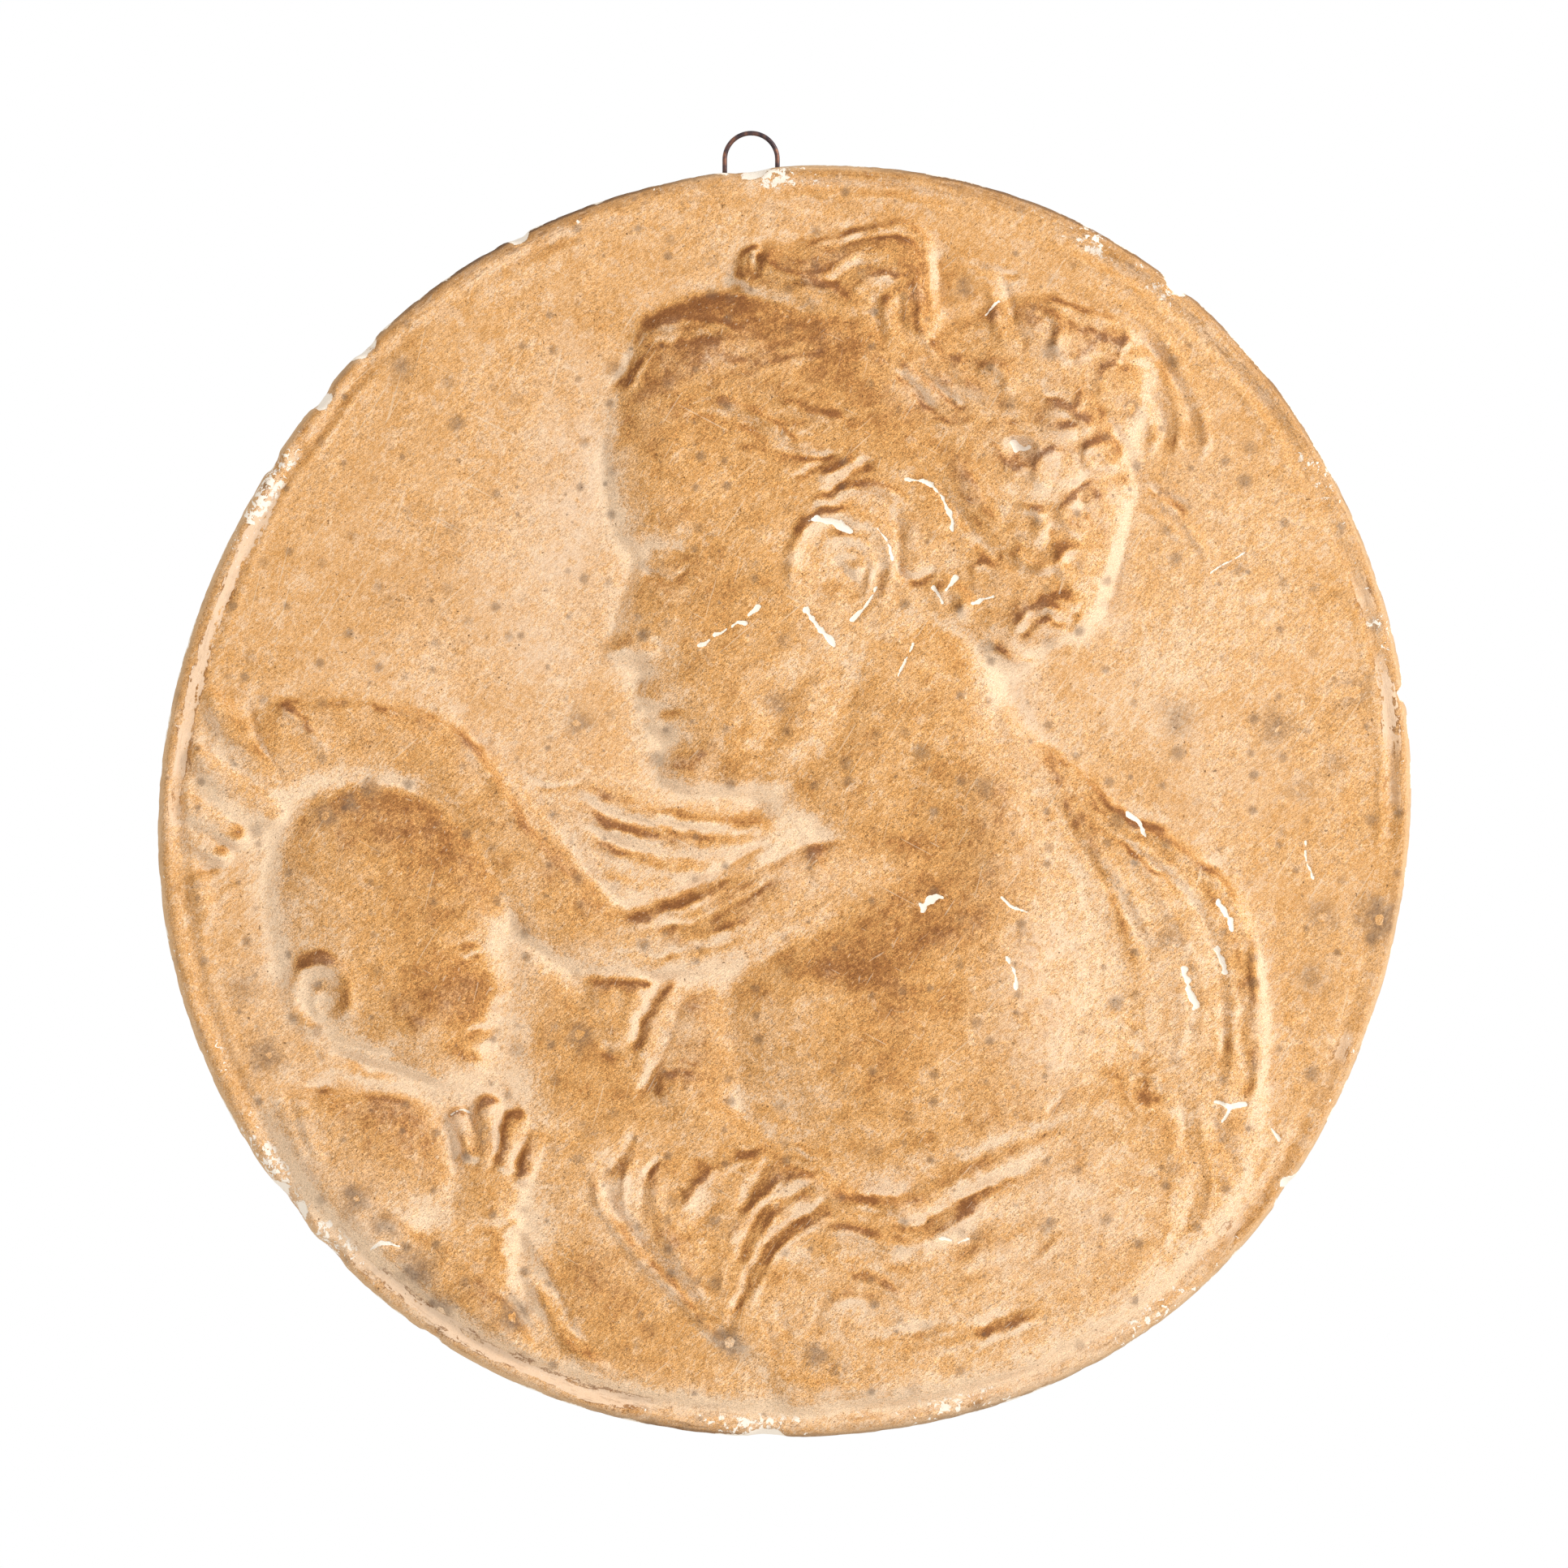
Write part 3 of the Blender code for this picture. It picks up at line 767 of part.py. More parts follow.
def disc_places(a, b):
    """Draws a square net out to the unit disc, so that its cells stay nearly even."""
    wide = np.abs(a) >= np.abs(b)
    far = np.where(wide, a, b)
    near = np.where(wide, b, a)
    safe = np.where(far == 0, 1, far)
    angle = np.where(wide, math.pi / 4 * near / safe, math.pi / 2 - math.pi / 4 * near / safe)
    return far * np.cos(angle), far * np.sin(angle)


def sample(clay, x, z):
    """The clay's height at any places, read between its grid lines."""
    last = len(clay.line) - 2
    u = np.clip((x + REACH) / clay.spacing, 0, last + 0.999)
    v = np.clip((z + REACH) / clay.spacing, 0, last + 0.999)
    i, j = u.astype(int), v.astype(int)
    f, g = u - i, v - j
    h = clay.h
    return (h[j, i] * (1 - f) * (1 - g) + h[j, i + 1] * f * (1 - g) + h[j + 1, i] * (1 - f) * g
            + h[j + 1, i + 1] * f * g)


def casting_mesh(clay, cells):
    """The front follows the carved clay, then come the rounded edge, the side and the flat back."""
    work = bmesh.new()
    bmesh.ops.create_grid(work, x_segments=cells, y_segments=cells, size=1)
    net = np.array([v.co[:2] for v in work.verts])
    a, b = disc_places(net[:, 0], net[:, 1])
    share = np.hypot(a, b)
    angle = np.arctan2(b, a)
    radius = outline_radius(angle)
    x = share * radius * np.cos(angle)
    z = share * radius * np.sin(angle)
    height = sample(clay, x, z) * HEIGHT_UNIT
    inward = np.maximum((1 - share) * radius * UNIT, 0)
    short = np.clip(1 - inward / EDGE_ROUND, 0, 1)
    height -= EDGE_ROUND * (1 - np.sqrt(1 - short * short))
    height -= np.maximum(chip_reach(angle) * UNIT - inward, 0)
    depth = np.round(SLAB_THICKNESS + height, 5)
    for vertex, px, py, pz in zip(work.verts, x * UNIT, -depth, z * UNIT):
        vertex.co = (px, py, pz)
    for inset, level in ((0, BACK_CHAMFER), (BACK_CHAMFER, 0)):
        rim_edges = [e for e in work.edges if e.is_boundary]
        grown = bmesh.ops.extrude_edge_only(work, edges=rim_edges)
        for vertex in [g for g in grown["geom"] if isinstance(g, bmesh.types.BMVert)]:
            shrink = 1 - inset / math.hypot(vertex.co.x, vertex.co.z)
            vertex.co = (vertex.co.x * shrink, -level, vertex.co.z * shrink)
    bmesh.ops.edgeloop_fill(work, edges=[e for e in work.edges if e.is_boundary])
    bmesh.ops.recalc_face_normals(work, faces=work.faces)
    mesh = bpy.data.meshes.new("casting")
    work.to_mesh(mesh)
    work.free()
    return mesh


def applied(piece):
    """A plain mesh of the object with its modifiers worked in."""
    result = bpy.data.meshes.new_from_object(piece.evaluated_get(bpy.context.evaluated_depsgraph_get()))
    piece.modifiers.clear()
    piece.data = result
    return piece


def fewer_facets(piece, limit):
    """Merges facets where the surface is plain until only the limit is left."""
    piece.data.calc_loop_triangles()
    thin = piece.modifiers.new("fewer facets", "DECIMATE")
    thin.decimate_type = "COLLAPSE"
    thin.ratio = limit / len(piece.data.loop_triangles)
    thin.use_collapse_triangulate = True
    applied(piece)
    for vertex in piece.data.vertices:
        if abs(vertex.co.y) < 2e-5:
            vertex.co.y = 0.0
    return piece


def material(name, colour, roughness, metallic=0.0):
    made = bpy.data.materials.new(name)
    made.use_nodes = True
    shader = made.node_tree.nodes["Principled BSDF"]
    shader.inputs["Base Color"].default_value = (*colour, 1)
    shader.inputs["Roughness"].default_value = roughness
    shader.inputs["Metallic"].default_value = metallic
    return made


def link(name, mesh, home):
    piece = bpy.data.objects.new(name, mesh)
    home.objects.link(piece)
    return piece


def edge_height(x):
    """Height of the top edge above the middle at a distance x to the side."""
    angle = math.pi / 2
    for _ in range(20):
        radius = float(outline_radius(np.array([angle]))[0]) * UNIT
        angle = math.acos(max(-1, min(1, x / radius)))
    return radius * math.sin(angle)


def wire_path():
    """Up one leg, round the bow and down the other leg."""
    half = LOOP_WIDTH / 2
    foot = min(edge_height(LOOP_CENTRE_X - half), edge_height(LOOP_CENTRE_X + half))
    shoulder = foot + LOOP_RISE - half
    path = [(-half, foot - LEG_DEPTH), (-half, foot), (-half, shoulder)]
    for step in range(1, 12):
        turn = math.pi * (1 - step / 12)
        path.append((half * math.cos(turn), shoulder + half * math.sin(turn)))
    path += [(half, shoulder), (half, foot), (half, foot - LEG_DEPTH)]
    return [Vector((LOOP_CENTRE_X + x, LOOP_Y, z)) for x, z in path], foot


def wire_mesh(points):
    curve = bpy.data.curves.new("wire", "CURVE")
    curve.dimensions = "3D"
    curve.use_fill_caps = True
    curve.bevel_depth = WIRE_DIAMETER / 2
    curve.bevel_resolution = 2
    line = curve.splines.new("POLY")
    line.points.add(len(points) - 1)
    for place, knot in zip(points, line.points):
        knot.co = (*place, 1)
    draft = bpy.data.objects.new("wire draft", curve)
    bpy.context.scene.collection.objects.link(draft)
    mesh = bpy.data.meshes.new_from_object(draft.evaluated_get(bpy.context.evaluated_depsgraph_get()))
    bpy.data.objects.remove(draft, do_unlink=True)
    work = bmesh.new()
    work.from_mesh(mesh)
    bmesh.ops.remove_doubles(work, verts=work.verts, dist=0.00001)
    bmesh.ops.recalc_face_normals(work, faces=work.faces)
    work.to_mesh(mesh)
    work.free()
    return mesh


def socket_mesh(x, foot):
    """The blind hole that one leg of the wire stands in."""
    low = foot - LEG_DEPTH - SOCKET_CLEARANCE
    high = foot + 4 * EDGE_ROUND
    work = bmesh.new()
    bmesh.ops.create_cone(work, cap_ends=True, segments=16, radius1=WIRE_DIAMETER / 2 + SOCKET_CLEARANCE,
                          radius2=WIRE_DIAMETER / 2 + SOCKET_CLEARANCE, depth=high - low,
                          matrix=Matrix.Translation((x, LOOP_Y, (low + high) / 2)))
    mesh = bpy.data.meshes.new("socket")
    work.to_mesh(mesh)
    work.free()
    return mesh


parts = bpy.data.collections.new("relief_roundel")
cutters = bpy.data.collections.new("cutters")
bpy.context.scene.collection.children.link(parts)
bpy.context.scene.collection.children.link(cutters)

clay = Clay(0.5)
carve(clay)
roundel = link("plaster_roundel", casting_mesh(clay, 260), parts)
fewer_facets(roundel, FACET_LIMIT)
points, foot = wire_path()
for number, x in enumerate((LOOP_CENTRE_X - LOOP_WIDTH / 2, LOOP_CENTRE_X + LOOP_WIDTH / 2), 1):
    cutter = link("socket_cutter_%d" % number, socket_mesh(x, foot), cutters)
    cutter.hide_render = True
    cutter.display_type = "WIRE"
    cut = roundel.modifiers.new("socket %d" % number, "BOOLEAN")
    cut.operation = "DIFFERENCE"
    cut.solver = "EXACT"
    cut.object = cutter
applied(roundel)
roundel.data.materials.clear()
roundel.data.materials.append(material("aged_plaster", (0.62, 0.40, 0.20), 0.85))

loop = link("hanging_loop", wire_mesh(points), parts)
loop.data.materials.clear()
loop.data.materials.append(material("dark_steel_wire", (0.10, 0.09, 0.09), 0.5, 1.0))
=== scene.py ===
import math

import bmesh
import bpy
import numpy as np
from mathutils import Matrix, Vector


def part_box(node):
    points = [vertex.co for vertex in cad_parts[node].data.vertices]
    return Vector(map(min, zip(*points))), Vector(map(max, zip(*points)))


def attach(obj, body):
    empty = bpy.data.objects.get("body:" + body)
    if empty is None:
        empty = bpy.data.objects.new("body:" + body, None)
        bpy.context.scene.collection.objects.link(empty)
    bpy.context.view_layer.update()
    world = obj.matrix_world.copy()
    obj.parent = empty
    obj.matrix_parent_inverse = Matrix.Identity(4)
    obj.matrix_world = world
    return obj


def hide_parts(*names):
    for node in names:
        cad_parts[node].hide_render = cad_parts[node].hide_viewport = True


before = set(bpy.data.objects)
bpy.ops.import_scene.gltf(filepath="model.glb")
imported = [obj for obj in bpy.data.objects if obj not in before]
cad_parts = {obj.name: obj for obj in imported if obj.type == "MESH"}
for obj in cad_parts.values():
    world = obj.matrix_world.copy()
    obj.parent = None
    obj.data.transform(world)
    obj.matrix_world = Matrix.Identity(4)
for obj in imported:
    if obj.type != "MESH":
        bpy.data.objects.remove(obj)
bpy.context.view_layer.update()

# The casting's own sizes, in metres
ROUNDEL_DIAMETER = 0.365
SLAB_THICKNESS = 0.014
RELIEF_DEPTH = 0.0100
EDGE_ROUND = 0.0025
BACK_CHAMFER = 0.0012
CRUMBLED_BITE = 0.10            # how far the worn edge crumbles in, in hundredths of the radius
CLAY_SPACING = 0.2              # between the lines of the carving's grid, in the same unit
FINE_CELLS = 520                # net on which the fine relief is first laid
FINE_FACETS = 165000            # kept once plain stretches are thinned
FOXING_EDGES = (0.0022, 0.0012) # near foxing, edges longer than these are split, one round for each
NICK_EDGES = (0.0008, 0.00045)  # the same near nicks
NICK_DEPTH = 0.22               # in the carving's own unit of height
FRONT_FROM, FRONT_TO = 0.004, 0.010     # how far from the back the patina of the front sets in

# The hanging wire
WIRE_DIAMETER = 0.0014
LOOP_WIDTH = 0.0152
LOOP_CENTRE_X = -0.0110
LOOP_Y = -0.0060
BOW_STEPS = 32

# The studio
FLOOR_LEVEL = -1.5
CAMERA_DISTANCE = 3.2
SENSOR_WIDTH = 36               # in millimetres

# The edge's lobes, each as (count, share of the radius, turn in degrees)
OUTLINE_LOBES = ((2, 0.0162, 64.6), (3, 0.0082, -49.9), (4, 0.0037, 40.7), (6, 0.0030, 3.8))
# Its chips, each as (turn, half width, depth): degrees, and hundredths of the radius. Seen from in front,
# they bite into the outline by only a share of that depth.
EDGE_CHIPS = (
    (146.5, 1.0, 1.6), (139.0, 1.4, 1.9), (132.8, 1.2, 1.7), (115.5, 0.9, 1.4), (93.8, 1.9, 1.7),
    (218.5, 2.2, 2.2), (224.5, 1.5, 1.8), (236.0, 1.0, 1.3), (53.0, 1.2, 1.5), (268.0, 1.6, 1.3),
    (322.0, 1.4, 1.5), (10.0, 0.8, 1.3))
CHIP_BITE = 0.22

MEAN_RADIUS = ROUNDEL_DIAMETER / 2
UNIT = MEAN_RADIUS / 100        # the carving is placed in hundredths of the radius
HEIGHT_UNIT = RELIEF_DEPTH / 6.1        # the carving's highest place stands 6.1 of these above its ground

# The photograph: its size and where the disc's middle lies in it, in pixels
PHOTO_PIXELS = 1932
DISC_MIDDLE_PIXEL = (972.4, 990.9)
MEAN_RADIUS_PIXELS = 780.8

REACH = 102.0        # half the carved square, in hundredths of the radius


def smooth_path(points, closed=False, step=1.0):
    """Points along a Catmull-Rom curve through the given ones; each may carry more numbers than two."""
    p = np.array(points, float)
    n = len(p)
    if n < 3 and not closed:
        count = max(2, int(np.hypot(*(p[-1, :2] - p[0, :2])) / step))
        share = np.linspace(0, 1, count + 1)[:, None]
        return p[0] * (1 - share) + p[-1] * share
    spans = n if closed else n - 1
    out = []
    for i in range(spans):
        if closed:
            a, b, c, d = (p[(i + k - 1) % n] for k in range(4))
        else:
            b, c = p[i], p[i + 1]
            a = p[i - 1] if i else 2 * b - c
            d = p[i + 2] if i + 2 < n else 2 * c - b
        count = max(2, int(math.ceil(math.dist(b[:2], c[:2]) / step)))
        t = np.arange(count)[:, None] / count
        out.append(0.5 * (2 * b + (c - a) * t + (2 * a - 5 * b + 4 * c - d) * t**2
                          + (3 * b - a - 3 * c + d) * t**3))
    line = np.concatenate(out)
    return line if closed else np.vstack([line, p[-1]])


def noise(x, z, size, seed):
    """Smooth noise from -1 to 1 whose lumps are about size across."""
    cells = int(2 * REACH / size) + 4
    lattice = np.random.default_rng(seed).uniform(-1, 1, (cells, cells))
    u, v = (x + REACH) / size, (z + REACH) / size
    i, j = np.clip(u.astype(int), 0, cells - 2), np.clip(v.astype(int), 0, cells - 2)
    f, g = u - i, v - j
    f, g = f * f * (3 - 2 * f), g * g * (3 - 2 * g)
    near = lattice[j, i] * (1 - f) + lattice[j, i + 1] * f
    far = lattice[j + 1, i] * (1 - f) + lattice[j + 1, i + 1] * f
    return near * (1 - g) + far * g


def smooth_step(low, high, value):
    t = np.clip((value - low) / (high - low), 0, 1)
    return t * t * (3 - 2 * t)


def smooth_max(a, b, blend):
    """The higher of two surfaces, with a fillet where they cross."""
    near = np.maximum(blend - np.abs(a - b), 0) / max(blend, 1e-6)
    return np.maximum(a, b) + near * near * blend / 4


class Clay:
    """Height over the roundel's face. Places and widths are in hundredths of its radius, heights in
    HEIGHT_UNIT."""

    def __init__(self, spacing):
        count = int(round(2 * REACH / spacing)) + 1
        self.line = np.linspace(-REACH, REACH, count)
        self.spacing = self.line[1] - self.line[0]
        self.x, self.z = np.meshgrid(self.line, self.line)
        self.h = np.zeros_like(self.x)
        # Shapes are laid in slightly wandering places, so that every line looks drawn by hand
        self.u = self.x + 0.45 * noise(self.x, self.z, 7, 81) + 0.16 * noise(self.x, self.z, 2.4, 82)
        self.v = self.z + 0.45 * noise(self.x, self.z, 7, 83) + 0.16 * noise(self.x, self.z, 2.4, 84)

    def window(self, path, margin):
        """The part of the grid that holds a path with a margin round it."""
        low = np.searchsorted(self.line, path[:, :2].min(0) - margin)
        high = np.searchsorted(self.line, path[:, :2].max(0) + margin)
        return np.s_[low[1]:high[1] + 1, low[0]:high[0] + 1]

    def measure(self, path, part, closed=False):
        """Distance to a path, how far along it the nearest place is, counted in points, and what lies
        inside it where it is closed."""
        x, z = self.u[part], self.v[part]
        best = np.full(x.shape, 1e9)
        along = np.zeros(x.shape)
        inside = np.zeros(x.shape, bool)
        ends = np.roll(path, -1, axis=0) if closed else path[1:]
        for i, (a, b) in enumerate(zip(path[:len(ends)], ends)):
            dx, dz = b[0] - a[0], b[1] - a[1]
            px, pz = x - a[0], z - a[1]
            t = np.clip((px * dx + pz * dz) / max(dx * dx + dz * dz, 1e-9), 0, 1)
            ex, ez = px - t * dx, pz - t * dz
            gap = ex * ex + ez * ez
            nearer = gap < best
            best = np.where(nearer, gap, best)
            along = np.where(nearer, i + t, along)
            if closed and dz:
                crosses = (a[1] > z) != (b[1] > z)
                inside ^= crosses & (px < pz * dx / dz)
        return np.sqrt(best), along, inside

    def mass(self, outline, height, edge, blend=0.6, firm=0.85):
        """A rounded slab inside a closed outline: it rolls up to its height over the edge width."""
        path = smooth_path(outline, closed=True, step=1.5)
        part = self.window(path, edge)
        gap, _, inside = self.measure(path, part, closed=True)
        inward = np.clip(gap / edge, 0, 1)
        roll = np.where(inside, np.sin(math.pi / 2 * inward**firm), -2 * inward)
        self.h[part] = smooth_max(self.h[part], height * roll, blend)

    def turned(self, part, centre, turn):
        """Places about a centre, along and across a direction that is turned in degrees."""
        c, s = math.cos(math.radians(turn)), math.sin(math.radians(turn))
        dx, dz = self.u[part] - centre[0], self.v[part] - centre[1]
        return dx * c + dz * s, dz * c - dx * s

    def swell(self, centre, radii, amount, turn=0.0):
        """A soft rise, or a hollow where the amount is negative, added to what is there."""
        part = self.window(np.array([centre]), max(radii) * 2)
        u, v = self.turned(part, centre, turn)
        self.h[part] += amount * np.exp(-2 * ((u / radii[0]) ** 2 + (v / radii[1]) ** 2))

    def swells(self, *rows):
        """Many swells, each given as (centre, radii, amount), with a turn after these where it has one."""
        for row in rows:
            self.swell(*row)

    def limb(self, points, blend=0.6):
        """A rounded tapering form along points of (x, z, half width, height)."""
        path = smooth_path(points)
        wide = path[:, 2].max()
        part = self.window(path, wide * 1.6)
        gap, along, _ = self.measure(path, part)
        places = np.arange(len(path))
        half = np.interp(along, places, path[:, 2])
        tall = np.interp(along, places, path[:, 3])
        t = gap / half
        level = np.where(t < 1, tall * np.sqrt(1 - np.minimum(t, 1) ** 2), -tall * 2 * (t - 1))
        self.h[part] = smooth_max(self.h[part], level, blend)

    def stroke(self, points, width, amount, taper=0.25):
        """A soft ridge, or a groove where the amount is negative, that thins out at its ends."""
        path = smooth_path(points)
        part = self.window(path, width * 3)
        gap, along, _ = self.measure(path, part)
        share = along / (len(path) - 1)
        fade = smooth_step(0, taper, share) * smooth_step(0, taper, 1 - share) if taper else 1.0
        self.h[part] += amount * fade * np.exp(-((gap / width) ** 2))

    def strokes(self, rows, taper=0.25):
        """Many strokes, each given as (rise, width, point, point, ...)."""
        for rise, width, *points in rows:
            self.stroke(points, width, rise, taper=taper)

    def blurred(self, field, width):
        """A field over the grid, blurred over a width."""
        spread = max(1, int(round(3 * width / self.spacing)))
        k = np.exp(-0.5 * (np.arange(-spread, spread + 1) * self.spacing / width) ** 2)
        k /= k.sum()
        for axis in (0, 1):
            border = [(spread, spread) if a == axis else (0, 0) for a in (0, 1)]
            padded = np.pad(field, border, mode="edge")
            field = sum(w * np.take(padded, np.arange(i, i + field.shape[axis]), axis=axis)
                        for i, w in enumerate(k))
        return field

    def stray(self, size, seed, part=np.s_[:, :]):
        """Smooth noise from -1 to 1 over a part of the grid."""
        return noise(self.x[part], self.z[part], size, seed)


def between(first, second, count):
    """Paths that fan from one guide path to another with the same number of points."""
    a, b = np.array(first, float), np.array(second, float)
    return [tuple(map(tuple, a + (b - a) * i / (count - 1))) for i in range(count)]


def profile(start, lean, third, shape, facing):
    """A face's side line: shape holds (down, out) in thirds of the face, from the hairline to the chin."""
    c, s = math.cos(math.radians(lean)), math.sin(math.radians(lean))
    return [(start[0] + third * (facing * out * c + down * s),
             start[1] + third * (facing * out * s - down * c))
            for down, out in shape]


# A calm grown woman's side line and a round-cheeked child's, both by the common rule of thirds
WOMAN = [
    (0, -.10), (.5, .02), (1.0, .04), (1.2, -.04), (1.6, .14), (1.88, .31), (2.02, .06), (2.17, .10),
    (2.26, .11), (2.35, .03), (2.45, .08), (2.6, -.02), (2.82, .05), (3.0, -.10), (3.06, -.35)]
CHILD = [
    (0, .0), (.45, .13), (.9, .14), (1.25, .03), (1.55, .10), (1.84, .27), (2.0, .08), (2.14, .14),
    (2.26, .05), (2.40, .11), (2.54, .02), (2.8, .07), (3.0, -.06), (3.06, -.32)]


def curl(clay, centre, radii, turn, start, sweep, width, height):
    """A lock bent round a flattened arc that closes in on itself, with a hollow in its bend."""
    t = np.linspace(0, 1, 9)
    angle = np.radians(start + sweep * t)
    shrink = 1 - 0.35 * t
    u, v = radii[0] * shrink * np.cos(angle), radii[1] * shrink * np.sin(angle)
    c, s = math.cos(math.radians(turn)), math.sin(math.radians(turn))
    clay.stroke(list(zip(centre[0] + u * c - v * s, centre[1] + u * s + v * c)), width, height, taper=0.2)
    clay.swell(centre, (radii[0] * 0.6, radii[1] * 0.6), -0.7 * height, turn=turn)


def strands(clay, first, second, count, width, height, seed):
    """Uneven locks that fan from one guide to another: ridges and grooves that come and go."""
    chance = np.random.default_rng(seed)
    for path in between(first, second, count):
        wander = [(x + chance.normal(0, 0.35), z + chance.normal(0, 0.35)) for x, z in path]
        begin = chance.integers(0, max(1, len(wander) - 2))
        clay.stroke(wander[begin:] if len(wander) - begin > 2 else wander, width * chance.uniform(0.7, 1.3),
                    height * chance.uniform(0.3, 1.2) * (1 if chance.random() < 0.5 else -1), taper=0.35)


def body(clay):
    # Bare back, shoulder and neck
    clay.mass([
        (-8, 8), (-3, -3), (2, -5), (4, -14), (-1, -19), (-8, -25), (-12, -33), (-9, -44), (-6, -54),
        (4, -62), (20, -64), (44, -61), (58, -58), (61, -46), (59, -34), (54, -20), (49, -8), (41, 6),
        (35.5, 13), (33, 22), (26, 34), (8, 34), (-6, 18)], 3.2, 15, firm=0.8)
    clay.swells(((14, -37), (34, 19), 2.2, -6), ((20, -4), (15, 16), -1.1, 20), ((11, -46), (10, 9), 0.4))
    clay.stroke([(35, 12), (33.5, -4), (33.5, -20), (39, -36), (44, -48)], 5.5, 0.7)
    clay.stroke([(-6, -20), (4, -27), (14, -27), (26, -21), (33, -16)], 4.5, 0.75)
    clay.swells(((45, -26), (9, 26), -0.7, 15), ((0, -48), (6, 4), -0.6, -40), ((27, -51), (3, 5), -0.25))
    clay.strokes((
        (-0.5, 0.54, (40.5, -49.5), (42, -47.5), (44, -45.2)),
        (-0.3, 0.9, (2, -52), (-1, -49), (-5, -45.5)), (0.34, 0.48, (0, -53.4), (3, -55.2), (6, -56)),
        (-0.34, 1.36, (34, 21), (35.6, 13), (39.5, 8))))


def arm(clay):
    clay.limb([
        (16, -10, 6, 2.2), (8, -13, 7.5, 3.2), (-4, -17, 7, 3.5), (-16, -20.5, 6.3, 3.1),
        (-27, -22, 5.8, 2.9), (-34, -18.5, 7, 2.9), (-41, -10, 7.0, 2.9), (-48, -.5, 6.4, 2.7),
        (-57, 7.5, 6.2, 2.5), (-68, 9.5, 6.6, 2.1), (-78, 9, 7.0, 1.8), (-86, 6, 6.5, 1.4)], blend=1.6)
    # Cloth slung round the upper arm, its edge standing on the shoulder, with creases down to the elbow
    clay.strokes((
        (0.5, 1.1, (5.4, -15), (4.2, -9), (2.2, -4.5), (-0.6, -1.8)),
        (0.84, 0.68, (-27, -18.6), (-22, -18), (-15, -15.4), (-8, -11), (-1, -7.6)),
        (-0.9, 0.61, (-24, -16.3), (-16, -13.2), (-8, -8.4), (-1, -5)),
        (-0.67, 0.48, (-23, -20.4), (-14, -18.3), (-5, -13), (0, -10.6)),
        (0.56, 0.61, (-22, -22.4), (-12, -20.6), (-2, -15.4)),
        (-0.34, 0.54, (-30, -24), (-18, -23.6), (-6, -20)),
        (0.56, 0.82, (-57, 15.2), (-52, 10.8), (-47.5, 4.6), (-43, -2.6), (-37, -9.4), (-31, -15.4)),
        (-0.56, 0.68, (-54, 15.6), (-49.5, 10), (-45, 3.4), (-40.4, -3), (-34.6, -9)),
        (0.39, 0.68, (-71, 17), (-66, 15.2), (-62, 12.6), (-59, 10))))


def neck_cloth(clay):
    # Soft cloth between the chin and the arm
    clay.mass([
        (-46, 4), (-40, 10), (-30, 9), (-20, 2), (-8, -1), (2, -2), (3, -10), (-8, -12), (-18, -17),
        (-29, -18), (-38, -9)], 1.3, 8, blend=1.0)
    clay.strokes((
        (0.56, 0.95, (-40, 4.5), (-31, 1), (-20, -1.6), (-8, -3.2), (1, -3.6)),
        (-0.5, 0.61, (-37, 2.2), (-28, -1.8), (-15, -3.8), (-3, -5)),
        (0.56, 0.82, (-36, 0), (-27, -4), (-16, -6), (-4, -6.8)),
        (-0.5, 0.54, (-34, -3), (-25, -7), (-14, -8.3), (-5, -8)),
        (0.45, 0.75, (-33, -5), (-25, -9), (-15, -10.5), (-7, -9.6)),
        (0.39, 0.61, (-30, -11), (-23, -13.5), (-16, -12.8)),
        (-0.34, 0.54, (-45, 6), (-38, 3), (-31, 3.6)), (0.34, 0.41, (-24, -1), (-18, -4.6), (-10, -5.4))))


def far_hand(clay):
    # The mother's hand at the left edge, its fingers laid loosely round the back of the child's head
    clay.limb([(-70, 11, 5, 1.8), (-77, 9, 6.4, 1.8), (-83, 5, 6.2, 1.5), (-86, 0, 5, 1.2)], blend=1.4)
    for *points, half, tall in (
            ((-91, 16.5), (-88, 12.4), (-84, 7), 2.2, 2.1),
            ((-93.4, 7.6), (-88, 3.2), (-81.4, -2), 2.2, 2.1),
            ((-96, .6), (-92, -2), (-87, -5), 2.0, 1.9),
            ((-96, -5), (-93, -6.2), (-89.4, -7.6), 1.6, 1.5),
            ((-93.6, -12.6), (-93.8, -15), (-93.4, -17.6), 2.6, 1.3)):
        clay.limb([(x, z, half * wide, tall * wide) for (x, z), wide in zip(points, (0.8, 1.0, 0.9))],
                  blend=0.9)
    clay.strokes((
        (-0.6, 0.45, (-86.6, 18.6), (-85, 15), (-83.4, 10), (-81, 6), (-80, 1)),
        (0.45, 0.6, (-90, 18), (-86.6, 14.4), (-84.4, 10)),
        (0.5, 0.6, (-81.6, 17), (-78.4, 14), (-75, 11.4), (-72, 8)),
        (-0.3, 0.9, (-80, 12.6), (-77.4, 10.4), (-75.4, 7)),
        (-0.45, 0.6, (-91.4, 10.4), (-86, 4.6), (-81.6, 1.4)),
        (-0.45, 0.6, (-94.6, 3), (-88.6, -1.4), (-83, -4.6)),
        (-0.4, 0.5, (-96.2, -2), (-91, -4.6), (-87, -6.8)),
        (-0.7, 0.4, (-95.6, -11.4), (-93, -10.4), (-90, -9.6)),
        (0.35, 0.6, (-91.4, -16.6), (-88.4, -13.4), (-85, -11.4)),
        (-0.3, 0.5, (-93, 19), (-92, 15), (-90.4, 11.4))))


